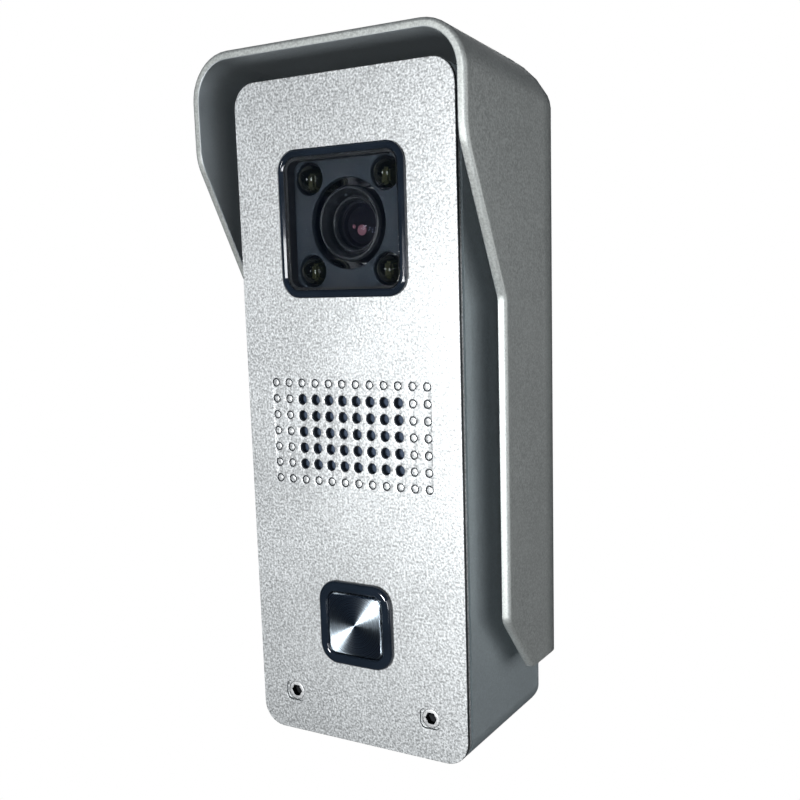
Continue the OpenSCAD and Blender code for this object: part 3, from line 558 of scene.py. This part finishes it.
def paint_shade_on_hidden_faces():
    """Paints shade: darkens creases, hole walls, the panel's edge, the screw sockets and the
    hood's inside and rear, which gather little light.
    """
    painted_crease_shade = (0.05, 0.055, 0.06)
    panel = MATERIALS["panel_metal"]
    face_y = box("front_panel")[0].y
    outer_x = 22.0
    # Painted shade in the dimples' creases, and on every wall between these depths
    darker_between(panel, face_y + 0.13, face_y + 0.31, painted_crease_shade)
    # Painted shade: a thin dark line along the panel's outer edge
    darker_between(panel, face_y + 0.3, face_y + 0.8, painted_crease_shade, (outer_x, FAR_OUT))
    # Painted shade on the walls of the holes and recesses deeper in
    darker_between(panel, face_y + 0.4, 0.0, (0.05, 0.06, 0.07), (-1.0, outer_x))
    darker_inside_hood(MATERIALS["hood_metal"], (0.27, 0.295, 0.31))
    # Painted shade: the hood darker over its rear bend, where it turns away from the light
    darker_between(MATERIALS["hood_metal"], -4.5, 10.0, (0.22, 0.24, 0.23), blur=2.5)
    # Painted shade in the screw heads' hexagonal sockets and on all that lies behind their faces
    screw_y = box("panel_screw_1")[0].y
    darker_between(MATERIALS["panel_screw_steel"], screw_y + 0.1, 0.0, (0.008, 0.009, 0.011))


# ---------------------------------------------------------------- front panel

PANEL_CORNER = 4.6
PANEL_T = 1.4
PANEL_EDGE = 0.15
WINDOW_HOLE = (26.7, 25.8, 3.2)
BUTTON_HOLE = (15.6, 15.6, 3.2)
GRILLE_COLS = 12
GRILLE_ROWS = 7
GRILLE_PITCH = 3.11
SOUND_HOLE_R = 1.0
DIMPLE_R = 0.85
DIMPLE_EDGE = 0.05
DIMPLE_DEPTH = 0.28
# Distance in from the rim and depth of each step of a dimple, crease first
DIMPLE_STEPS = [(0.02, DIMPLE_DEPTH), (0.2, DIMPLE_DEPTH), (0.26, 0.09), (0.5, 0.05),
                (DIMPLE_R, 0.04)]
POCKET = (4.5, 3.9, 1.2)
POCKET_EDGE = 0.1
POCKET_DEPTH = 0.35
SCREW_SEAT_R = 1.9
SCREW_SEAT_DEPTH = 1.0
SCREW_HOLE_R = 1.4
HOLE_EDGE = 0.12


def grille_marks():
    """Centre of each mark in the grille, and whether it's an open hole."""
    centre = middle("grille_mesh")
    for col in range(GRILLE_COLS):
        for row in range(GRILLE_ROWS):
            x = centre.x + (col - (GRILLE_COLS - 1) / 2) * GRILLE_PITCH
            z = centre.z + (row - (GRILLE_ROWS - 1) / 2) * GRILLE_PITCH
            yield x, z, 1 < col < GRILLE_COLS - 2 and 0 < row < GRILLE_ROWS - 1


def dimple(bm, x, z, y):
    """Round dent with a narrow crease along its rim; returns its rim on the face at y."""
    outline = round_hole(DIMPLE_R, x, z)
    rings = rim(bm, outline, y, 1, DIMPLE_EDGE)
    rings += [ring(bm, outline(-inset), y + depth) for inset, depth in DIMPLE_STEPS]
    bridge(bm, rings)
    return rings[0]


def screw_pocket(bm, x, z, y, back_y):
    """Recess for a screw head with a hole in its floor; returns its front and back loops."""
    outline = rect_hole(*POCKET, x, z)
    floor = y + POCKET_DEPTH
    rings = rim(bm, outline, y, 1, POCKET_EDGE)
    rings.append(ring(bm, outline(-POCKET_EDGE), floor))
    for r, depth in [(SCREW_SEAT_R, floor), (SCREW_SEAT_R, y + SCREW_SEAT_DEPTH),
                     (SCREW_HOLE_R, y + SCREW_SEAT_DEPTH), (SCREW_HOLE_R, back_y)]:
        rings.append(ring(bm, disc(r, x, z), depth))
    bridge(bm, rings)
    return rings[0], rings[-1]


def build_panel():
    """Front panel with every hole, dent and screw recess."""
    low, high = box("front_panel")
    camera = middle("window_bezel")
    y = low.y
    back_y = y + PANEL_T
    bm = bmesh.new()
    centre_z = (low.z + high.z) / 2
    edge = rect_edge(high.x - low.x, high.z - low.z, PANEL_CORNER, 0, centre_z)
    holes = [rect_hole(*WINDOW_HOLE, camera.x, camera.z),
             rect_hole(*BUTTON_HOLE, button_spot.x, button_spot.z)]
    marks = list(grille_marks())
    holes += [round_hole(SOUND_HOLE_R, x, z) for x, z, is_open in marks if is_open]
    front, back = [], []
    for outline, q in [(edge, PANEL_EDGE)] + [(hole, HOLE_EDGE) for hole in holes]:
        near = rim(bm, outline, y, 1, q)
        far = rim(bm, outline, back_y, -1, HOLE_EDGE)
        bridge(bm, near + far[::-1])
        front.append(near[0])
        back.append(far[0])
    for x, z, is_open in marks:
        if not is_open:
            front.append(dimple(bm, x, z, y))
    for name in ("panel_screw_1", "panel_screw_2"):
        spot = middle(name)
        near, far = screw_pocket(bm, spot.x, spot.z, y, back_y)
        front.append(near)
        back.append(far)
    fill(bm, front[0], front[1:])
    fill(bm, back[0], back[1:])
    add_piece("panel_face", bm, MATERIALS["panel_metal"],
              stands_for=["front_panel"])


STUD_R = 2.2
STUD_BORE_R = 0.85
STUD_HEIGHTS = {"camera": 6.2, "speaker": 2.1, "button": 4.6}


def build_studs():
    """Threaded studs behind the panel, which its camera, speaker and button parts screw to."""
    y = box("front_panel")[0].y + PANEL_T
    for part, height in STUD_HEIGHTS.items():
        for node in (part + "_screw_1", part + "_screw_2"):
            spot = middle(node)
            bm = bmesh.new()
            lathe(bm, [(STUD_R, y), (STUD_R, y + height), (STUD_BORE_R, y + height),
                       (STUD_BORE_R, y)], spot.x, spot.z, steps=8)
            add_piece("stud_" + node, bm, MATERIALS["panel_metal"], edge=0.15)


# ---------------------------------------------------------------- rain hood

HOOD_T = 1.7
HOOD_CORNER = 8.6
HOOD_REAR = 18.0
HOOD_EDGE = 4.2
HOOD_LIP = 0.75
HOOD_INNER_LIP = 0.2
HOOD_SIDE_Y = -23.2
HOOD_BROW_DROP = 19.0
HOOD_BROW_BEND = 9.0
HOOD_SLOPE_DROP = 25.8
HOOD_CHAMFER_H = 12.2
HOOD_CHAMFER_D = 9.9
HOOD_BACK_HALF = 24.0
HOOD_KNEE_Z = 20.0
HOOD_ROW_GAP = 2.5
HOOD_ARC_STEPS = 10
HOOD_TOP_STEPS = 24


def quarter_drop(y, inset, radius):
    """How far a wall has turned inwards at depth y, along its rear bend."""
    r = radius - inset
    along = y + inset + r
    if along <= 0:
        return 0.0
    return r - math.sqrt(max(r * r - along * along, 0.0))


def hood_front_line(low, high):
    """Front edge of a hood side, (y, z) points from the bottom up."""
    brow = high.z - HOOD_BROW_DROP
    corners = [
        (HOOD_SIDE_Y + HOOD_CHAMFER_D + HOOD_ROW_GAP, low.z, 0),
        (HOOD_SIDE_Y + HOOD_CHAMFER_D, low.z, 0.4),
        (HOOD_SIDE_Y, low.z + HOOD_CHAMFER_H, 3),
        (HOOD_SIDE_Y, brow - HOOD_SLOPE_DROP, 4),
        (low.y, brow, HOOD_BROW_BEND),
        (low.y, high.z - HOOD_CORNER, 0),
    ]
    line = rounded_path(corners, steps=8)
    spaced = [line[0]]
    for point in line[1:]:
        pieces = max(1, round((point - spaced[-1]).length / HOOD_ROW_GAP))
        start = spaced[-1]
        spaced += [start.lerp(point, k / pieces) for k in range(1, pieces + 1)]
    return spaced


def hood_stations(low, high):
    """Places along the hood's outline: (hand, kind, share, y of the front edge)."""
    line = hood_front_line(low, high)
    side = [("side", z, y) for y, z in line]
    arc = [("corner", i / HOOD_ARC_STEPS, low.y) for i in range(1, HOOD_ARC_STEPS)]
    top = [("top", 1 - 2 * i / HOOD_TOP_STEPS, low.y) for i in range(HOOD_TOP_STEPS + 1)]
    left = [(-1, *s) for s in side + arc]
    right = [(1, *s) for s in (side + arc)[::-1]]
    return left + [(0, *s) for s in top] + right


def hood_point(station, y, inset, high):
    """Point of the hood's sheet at a station and a depth, drawn in by inset."""
    hand, kind, share, _ = station
    half = high.x - inset - quarter_drop(y, inset, HOOD_EDGE)
    top = high.z - inset - quarter_drop(y, inset, HOOD_REAR)
    r = HOOD_CORNER - inset
    shoulder = high.z - HOOD_CORNER
    # The rear bend cuts into the round corner, so the corner turns less and less
    turn = math.asin(min(max((top - shoulder) / r, 0.0), 1.0))
    side_top = min(top, shoulder)
    if kind == "side":
        rise = (share - HOOD_KNEE_Z) / (shoulder - HOOD_KNEE_Z)
        z = share if share < HOOD_KNEE_Z else HOOD_KNEE_Z + rise * (side_top - HOOD_KNEE_Z)
        return (hand * half, y, z)
    if kind == "corner":
        a = turn * share
        return (hand * (half - r + r * math.cos(a)), y, side_top + r * math.sin(a))
    return (-share * (half - r + r * math.cos(turn)), y, top)


def hood_rows(front_y, lip):
    """Rows of a hood surface behind its front edge: (depth, how far the lip turns in)."""
    wall_y = front_y + 1.4
    lip_steps, wall_steps, bend_steps = 5, 12, 9
    rows = []
    for i in range(lip_steps + 1):
        a = QUARTER * (1 - i / lip_steps)
        rows.append((front_y + lip * (1 - math.sin(a)), lip * (1 - math.cos(a))))
    rows += [(wall_y + (-HOOD_EDGE - wall_y) * i / wall_steps, 0.0) for i in range(wall_steps)]
    return rows + [(-HOOD_EDGE + HOOD_EDGE * math.sin(QUARTER * i / bend_steps), 0.0)
                   for i in range(bend_steps + 1)]


def hood_column(station, high):
    """Closed loop round the sheet's section at a station: out, round the back and in."""
    outer = [Vector(hood_point(station, y, turned, high))
             for y, turned in hood_rows(station[3], HOOD_LIP)]
    inner = []
    for y, turned in hood_rows(station[3], HOOD_INNER_LIP):
        if y > -HOOD_EDGE:
            y = -HOOD_EDGE + (y + HOOD_EDGE) * (HOOD_EDGE - HOOD_T) / HOOD_EDGE
        inner.append(Vector(hood_point(station, y, HOOD_T - turned, high)))
    flange = []
    for point in (inner[-1], outer[-1]):
        x = max(-HOOD_BACK_HALF, min(HOOD_BACK_HALF, point.x))
        flange.append(Vector((x, point.y, min(outer[-1].z, high.z - HOOD_REAR))))
    return outer + flange[::-1] + inner[::-1]


def build_hood():
    """Hood bent from one sheet, open at the front, below and at the back plate."""
    low, high = box("rain_hood")
    bm = bmesh.new()
    columns = [[bm.verts.new(point) for point in hood_column(station, high)]
               for station in hood_stations(low, high)]
    count = len(columns[0])
    for a, b in zip(columns, columns[1:]):
        for i in range(count):
            j = (i + 1) % count
            bm.faces.new((a[i], a[j], b[j], b[i]))
    rows = len(hood_rows(low.y, 0))
    for column in (columns[0], columns[-1]):
        for i in range(rows - 1):
            bm.faces.new((column[i], column[i + 1], column[count - 2 - i],
                          column[count - 1 - i]))
        bm.faces.new(column[rows - 1:rows + 3])
    add_piece("hood_shell", bm, MATERIALS["hood_metal"],
              stands_for=["rain_hood"], edge=0.2)


# ---------------------------------------------------------------- camera window

BEZEL_CORNER = 3.9
BEZEL_PROUD = 0.9
WINDOW_DRAW = 1.4
WINDOW_CORNER = 2.5
NECK_DRAW = 0.7


def build_window_bezel():
    """Glossy frame with rounded edges, round the pane and the mask."""
    low, high = box("window_bezel")
    centre = (low + high) / 2
    panel_y = low.y + BEZEL_PROUD
    profile = rounded_path([
        (0.0, panel_y, 0), (0.0, low.y + 0.34, 0.2), (0.5, low.y, 0.12),
        (WINDOW_DRAW - 0.45, low.y, 0.12), (WINDOW_DRAW, low.y + 0.31, 0.12),
        (WINDOW_DRAW, high.y, 0), (NECK_DRAW, high.y, 0), (NECK_DRAW, panel_y, 0)], steps=6)
    outline = rect_edge(high.x - low.x, high.z - low.z, BEZEL_CORNER, centre.x, centre.z,
                        WINDOW_CORNER)
    bm = bmesh.new()
    sweep_outline(bm, outline, profile)
    add_piece("window_frame", bm, MATERIALS["gloss_black"],
              stands_for=["window_bezel"])


def build_slab(name, node, corner, edge, material, holes=(), casts_shadow=True):
    """Thin plate in the place of a CAD node, with rounded edges and holes."""
    low, high = box(node)
    centre = (low + high) / 2
    outer = rect_edge(high.x - low.x, high.z - low.z, corner, centre.x, centre.z)
    bm = bmesh.new()
    front, back = [], []
    for outline in [outer, *holes]:
        near = rim(bm, outline, low.y, 1, edge)
        far = rim(bm, outline, high.y, -1, edge)
        bridge(bm, near + far[::-1])
        front.append(near[0])
        back.append(far[0])
    fill(bm, front[0], front[1:])
    fill(bm, back[0], back[1:])
    piece = add_piece(name, bm, MATERIALS[material], stands_for=[node])
    piece.visible_shadow = casts_shadow
    return piece


LAMPS = ["ir_led_1", "ir_led_2", "ir_led_3", "ir_led_4"]
LAMP_R = 2.5
LAMP_COLLAR_W = 0.15
LAMP_COLLAR_H = 0.9
LAMP_HOLE_R = 3.0
ANVIL_W = 0.8
ANVIL_H = 1.4
ANVIL_ASIDE = 0.9
ANVIL_BEHIND_DOME = 0.9
LENS_HOLE_R = 8.2


def build_mask():
    """Matt plate with the openings for the lens and the lamps."""
    lens = middle("lens_barrel")
    holes = [round_hole(LENS_HOLE_R, lens.x, lens.z, 16)]
    for lamp in LAMPS:
        spot = middle(lamp)
        holes.append(round_hole(LAMP_HOLE_R, spot.x, spot.z, 12))
    build_slab("mask_plate", "camera_mask", WINDOW_CORNER, 0.2, "mask_black", holes)


def build_lamp(node):
    """Epoxy lamp with its dome, its collar and the block of its lead frame inside."""
    low, high = box(node)
    spot = (low + high) / 2
    board_y = box("led_board")[0].y
    collar_y = board_y - LAMP_COLLAR_H
    collar_r = LAMP_R + LAMP_COLLAR_W
    turns = [QUARTER * i / 10 for i in range(11)]
    dome = [(LAMP_R * math.sin(a), low.y + LAMP_R * (1 - math.cos(a))) for a in turns]
    bm = bmesh.new()
    lathe(bm, dome + [(LAMP_R, collar_y), (collar_r, collar_y), (collar_r, board_y),
                      (0.0, board_y)], spot.x, spot.z, closed=False)
    lamp = add_piece(node + "_body", bm, MATERIALS["lamp_epoxy"],
                     stands_for=[node])
    lamp.visible_shadow = False
    anvil_y = low.y + LAMP_R + ANVIL_BEHIND_DOME
    bm = bmesh.new()
    bmesh.ops.create_cube(bm, size=1)
    bmesh.ops.scale(bm, vec=(ANVIL_W, high.y - anvil_y, ANVIL_H), verts=bm.verts)
    bmesh.ops.translate(bm, vec=(spot.x - ANVIL_ASIDE, (high.y + anvil_y) / 2, spot.z),
                        verts=bm.verts)
    bmesh.ops.bevel(bm, geom=bm.edges, offset=0.2, segments=3, affect="EDGES")
    add_piece(node + "_anvil", bm, MATERIALS["lamp_metal"])


def build_lens():
    """Lens barrel with its retaining ring, its front glass and the glass group inside."""
    low, high = box("lens_barrel")
    spot = (low + high) / 2
    ring_low, ring_high = box("lens_retainer")
    glass_low, glass_high = box("lens_front_glass")
    y = low.y
    seat_y = ring_low.y
    barrel = rounded_path([
        (4.0, high.y, 0), (4.0, glass_high.y + 0.05, 0), (5.3, glass_high.y + 0.05, 0),
        (5.3, seat_y, 0), (5.65, seat_y - 0.9, 0.5), (6.1, y + 0.2, 0.2), (6.25, y, 0.1),
        (6.55, y, 0.25), (6.9, y + 0.55, 0.3), (6.9, y + 5, 0.2), (6.0, y + 5, 0),
        (6.0, high.y, 0)], steps=6)
    bm = bmesh.new()
    lathe(bm, barrel, spot.x, spot.z)
    add_piece("barrel_shell", bm, MATERIALS["barrel_black"],
              stands_for=["lens_barrel"])
    retainer = rounded_path([
        (5.25, seat_y + 0.3, 0), (5.0, seat_y + 0.2, 0.05), (4.9, seat_y, 0.05),
        (4.7, seat_y, 0.08), (4.3, ring_high.y, 0.05), (5.25, ring_high.y, 0)], steps=4)
    bm = bmesh.new()
    lathe(bm, retainer, spot.x, spot.z)
    add_piece("retaining_ring", bm, MATERIALS["barrel_black"],
              stands_for=["lens_retainer"])
    build_lens_glass(spot, glass_low, glass_high, ring_high.y)
    build_lens_inside(spot, glass_high.y, high.y)


def build_lens_glass(spot, low, high, rim_y):
    """Front glass: a dome in front and a hollow behind."""
    dome_r = 4.3
    hollow_r = 3.6
    hollow_depth = 0.7
    dome = [(dome_r * i / 10, low.y + (rim_y - low.y) * (i / 10) ** 2) for i in range(11)]
    hollow = [(hollow_r * i / 8, high.y - hollow_depth * (1 - (i / 8) ** 2)) for i in range(9)]
    profile = dome + [(high.x, rim_y), (high.x, high.y)] + hollow[::-1]
    bm = bmesh.new()
    lathe(bm, profile, spot.x, spot.z, closed=False)
    glass = add_piece("front_glass", bm, MATERIALS["lens_glass"],
                      stands_for=["lens_front_glass"])
    glass.visible_shadow = False


# Name, place beside the lens axis and radius of each pink bulge that paints a glint of the coated
# element
GLINTS = [("painted_coating_glint", -0.4, -0.78, 0.95), ("painted_coating_spark", -2.05, -0.11, 0.35)]


def build_lens_inside(spot, glass_y, back_y):
    """Near-black glass group behind the front glass, partly painted shade, and the painted glints
    of its coated element.
    """
    # Solid near-black body for the glass group: partly the real group, partly painted shade of
    # the lens's dark inside
    group = [(0.0, glass_y + 0.65), (3.3, glass_y + 0.5), (3.7, glass_y + 0.1),
             (3.95, glass_y + 0.1), (3.95, back_y - 1.0), (0.0, back_y - 1.0)]
    bm = bmesh.new()
    lathe(bm, group, spot.x, spot.z, closed=False)
    add_piece("lens_group", bm, MATERIALS["lens_dark"])
    # Pink bulges that paint the glints reflected off the coated element
    front_y = glass_y + 0.4
    for name, x, z, r in GLINTS:
        bulge = [(r * i / 8, front_y + 0.1 * (i / 8) ** 2) for i in range(9)]
        bm = bmesh.new()
        lathe(bm, bulge + [(r, front_y + 0.3), (0.0, front_y + 0.3)], spot.x + x, spot.z + z,
              closed=False, steps=8)
        add_piece(name, bm, MATERIALS["painted_lens_reflection"])


# ---------------------------------------------------------------- call button

BUTTON_CORNER = 4.0
BUTTON_PROUD = 1.1
BUTTON_FRAME_DEPTH = 1.8
CAP_HALF = 6.05
CAP_CORNER = 1.6
CAP_EDGE = 0.35
CAP_FLANGE = 0.9
CAP_STEM_R = 2.5


def build_button_bezel():
    """Glossy frame round the button, well rounded outside and inside."""
    low, high = box("button_bezel")
    centre = (low + high) / 2
    panel_y = low.y + BUTTON_PROUD
    inner_y = panel_y + BUTTON_FRAME_DEPTH
    opening = (high.x - low.x) / 2 - CAP_HALF - 0.2
    profile = rounded_path([
        (0.0, panel_y, 0), (0.0, low.y, 0.8), (opening, low.y, 0.6),
        (opening, inner_y, 0), (opening - 0.9, inner_y, 0), (opening - 0.9, high.y, 0),
        (NECK_DRAW, high.y, 0), (NECK_DRAW, panel_y, 0)], steps=8)
    outline = rect_edge(high.x - low.x, high.z - low.z, BUTTON_CORNER, centre.x, centre.z, 1.8)
    bm = bmesh.new()
    sweep_outline(bm, outline, profile)
    add_piece("button_frame", bm, MATERIALS["gloss_black"],
              stands_for=["button_bezel"])


def build_button_cap():
    """Spun metal cap with a rounded edge, its stop flange and its stem."""
    low, high = box("button_cap")
    centre = (low + high) / 2
    lip_y = box("button_bezel")[0].y + BUTTON_PROUD + BUTTON_FRAME_DEPTH
    flange_back = lip_y + 1
    outline = rect_edge(2 * CAP_HALF, 2 * CAP_HALF, CAP_CORNER, centre.x, centre.z, 0.05)
    bm = bmesh.new()
    rings = [ring(bm, outline(CAP_HALF - 0.06), low.y)]
    rings += [ring(bm, outline(CAP_HALF * (1 - share)), low.y) for share in (0.4, 0.8)]
    rings += rim(bm, outline, low.y, 1, CAP_EDGE, steps=5)
    rings += [ring(bm, outline(0), lip_y), ring(bm, outline(-CAP_FLANGE), lip_y),
              ring(bm, outline(-CAP_FLANGE), flange_back)]
    stem = disc(CAP_STEM_R, centre.x, centre.z)
    rings += [ring(bm, stem, flange_back), ring(bm, stem, high.y)]
    bridge(bm, rings)
    bm.faces.new(rings[0])
    bm.faces.new(rings[-1])
    add_piece("cap_shell", bm, MATERIALS["button_metal"], "call_button",
              ["button_cap"])


# ---------------------------------------------------------------- panel screws

SCREW_HEAD_R = 1.85
SCREW_HEAD_H = 0.65
SCREW_HEAD_EDGE = 0.12
SCREW_SHANK_R = 1.25
# Corner radius and depth of each step of the hexagonal socket, from its floor outwards
SOCKET_STEPS = [(1.2, 1.1), (1.25, 0.06), (1.32, 0.0)]
SOCKET_DEPTH = 1.2


def build_panel_screw(node):
    """Socket screw: a rounded head with a hexagonal recess, and its shank."""
    low, high = box(node)
    spot = (low + high) / 2
    head_back = low.y + SCREW_HEAD_H
    bm = bmesh.new()
    rings = [ring(bm, disc(0.05, spot.x, spot.z), low.y + SOCKET_DEPTH)]
    rings += [ring(bm, hexagon(r, spot.x, spot.z), low.y + depth) for r, depth in SOCKET_STEPS]
    rings += rim(bm, lambda d: disc(SCREW_HEAD_R - d, spot.x, spot.z), low.y, 1,
                 SCREW_HEAD_EDGE)
    for r, depth in [(SCREW_HEAD_R, head_back), (SCREW_SHANK_R, head_back),
                     (SCREW_SHANK_R, high.y)]:
        rings.append(ring(bm, disc(r, spot.x, spot.z), depth))
    bridge(bm, rings)
    bm.faces.new(rings[0])
    bm.faces.new(rings[-1])
    add_piece(node + "_head", bm, MATERIALS["panel_screw_steel"],
              stands_for=[node])


# ---------------------------------------------------------------- the housing

def soften_housing():
    """Joins the CAD faces of the housing, which stays, and rounds its edges."""
    housing = NODES["housing"]
    weld = housing.modifiers.new("join", "WELD")
    weld.merge_threshold = 1e-6
    soften(housing, 0.2, 50)


# ---------------------------------------------------------------- studio

# Place in millimetres, angles in degrees, lens in millimetres and shift of the frame
CAMERA_PLACE = Vector((102.23, -164.61, 10.69)) * MM
CAMERA_AZIMUTH = 24.87
CAMERA_ELEVATION = 7.89
CAMERA_ROLL = -0.41
CAMERA_LENS = 39.99
CAMERA_SHIFT = (-0.18125, 0.05)
FLOOR_GAP = 1300.0
FLOOR_HALF_M = 4
WHITE = (1, 1, 1)
# Name, direction, distance and size in metres, power and colour of each light
LIGHTS = [
    ("key", (-0.15, -0.98, -0.03), 0.7, (0.13, 0.15), 4.8, WHITE),
    ("side", (0.99, 0.05, 0.02), 0.7, (1.0, 0.6), 2.4, WHITE),
    ("fill", (0.5, -0.87, -0.11), 0.6, (0.1, 0.3), 1.3, (0.95, 0.97, 1.0)),
    ("back", (-0.45, 0.87, 0.2), 0.8, (0.6, 0.6), 3.0, WHITE),
]


def add_camera():
    """Camera in front and to the right, a little above the middle, looking slightly down."""
    data = bpy.data.cameras.new("camera")
    data.lens = CAMERA_LENS
    data.sensor_width = 36
    data.shift_x, data.shift_y = CAMERA_SHIFT
    data.clip_start = 0.01
    obj = bpy.data.objects.new("camera", data)
    turn = Euler((math.radians(90 - CAMERA_ELEVATION), 0, math.radians(CAMERA_AZIMUTH)))
    obj.matrix_world = (Matrix.Translation(CAMERA_PLACE) @ turn.to_matrix().to_4x4()
                        @ Matrix.Rotation(math.radians(CAMERA_ROLL), 4, "Z"))
    bpy.context.scene.collection.objects.link(obj)
    bpy.context.scene.camera = obj


def add_softbox(name, direction, distance, size, power, colour):
    """Area light that looks at the middle of the object."""
    data = bpy.data.lights.new(name, "AREA")
    data.shape = "RECTANGLE"
    data.size, data.size_y = size
    data.energy = power
    data.color = colour
    obj = bpy.data.objects.new(name, data)
    target = (cad_box[0] + cad_box[1]) / 2
    way = Vector(direction).normalized()
    obj.location = target + way * distance
    obj.rotation_euler = way.to_track_quat("Z", "Y").to_euler()
    bpy.context.scene.collection.objects.link(obj)


def add_world():
    """Plain surroundings: white to the camera, soft in front and dim behind for the rest."""
    world = bpy.data.worlds.new("studio")
    bpy.context.scene.world = world
    world.use_nodes = True
    tree = world.node_tree
    tree.nodes.clear()
    output = tree.nodes.new("ShaderNodeOutputWorld")
    mix = tree.nodes.new("ShaderNodeMixShader")
    rays = tree.nodes.new("ShaderNodeLightPath")
    room = tree.nodes.new("ShaderNodeBackground")
    white = tree.nodes.new("ShaderNodeBackground")
    white.inputs["Color"].default_value = (1, 1, 1, 1)
    white.inputs["Strength"].default_value = 1.0
    around = tree.nodes.new("ShaderNodeTexCoord")
    front = tree.nodes.new("ShaderNodeVectorMath")
    front.operation = "DOT_PRODUCT"
    front.inputs[1].default_value = (0, -1, 0)
    tree.links.new(around.outputs["Generated"], front.inputs[0])
    dim, soft = 0.015, 0.035
    shade = levels(tree, front.outputs["Value"], dim, soft, -0.2, 0.9)
    room.inputs["Color"].default_value = (0.25, 0.5, 1.0, 1)
    tree.links.new(shade, room.inputs["Strength"])
    tree.links.new(rays.outputs["Is Camera Ray"], mix.inputs["Fac"])
    tree.links.new(room.outputs["Background"], mix.inputs[1])
    tree.links.new(white.outputs["Background"], mix.inputs[2])
    tree.links.new(mix.outputs["Shader"], output.inputs["Surface"])


def add_floor():
    """Wide pale floor under the object, white to the camera."""
    bm = bmesh.new()
    bmesh.ops.create_grid(bm, x_segments=8, y_segments=8, size=FLOOR_HALF_M)
    mesh = bpy.data.meshes.new("floor")
    bm.to_mesh(mesh)
    bm.free()
    floor = bpy.data.objects.new("floor", mesh)
    floor.location.z = cad_box[0].z - FLOOR_GAP * MM
    bpy.context.scene.collection.objects.link(floor)
    material, tree, shader = new_material("floor", (0.3, 0.3, 0.3), 0.0, 0.8)
    glow = tree.nodes.new("ShaderNodeEmission")
    rays = tree.nodes.new("ShaderNodeLightPath")
    mix = tree.nodes.new("ShaderNodeMixShader")
    tree.links.new(rays.outputs["Is Camera Ray"], mix.inputs["Fac"])
    tree.links.new(shader.outputs["BSDF"], mix.inputs[1])
    tree.links.new(glow.outputs["Emission"], mix.inputs[2])
    tree.links.new(mix.outputs["Shader"], tree.nodes["Material Output"].inputs["Surface"])
    mesh.materials.append(material)


# ---------------------------------------------------------------- the scene

paint_shade_on_hidden_faces()
dress_frame()
build_hood()
build_panel()
build_studs()
build_window_bezel()
build_slab("pane", "window_pane", WINDOW_CORNER, 0.12, "clear_pane", casts_shadow=False)
build_mask()
for lamp_node in LAMPS:
    build_lamp(lamp_node)
build_lens()
build_button_bezel()
build_button_cap()
for screw_node in ("panel_screw_1", "panel_screw_2"):
    build_panel_screw(screw_node)
soften_housing()

add_camera()
add_world()
add_floor()
for light in LIGHTS:
    add_softbox(*light)
bpy.context.scene.view_settings.view_transform = "Standard"
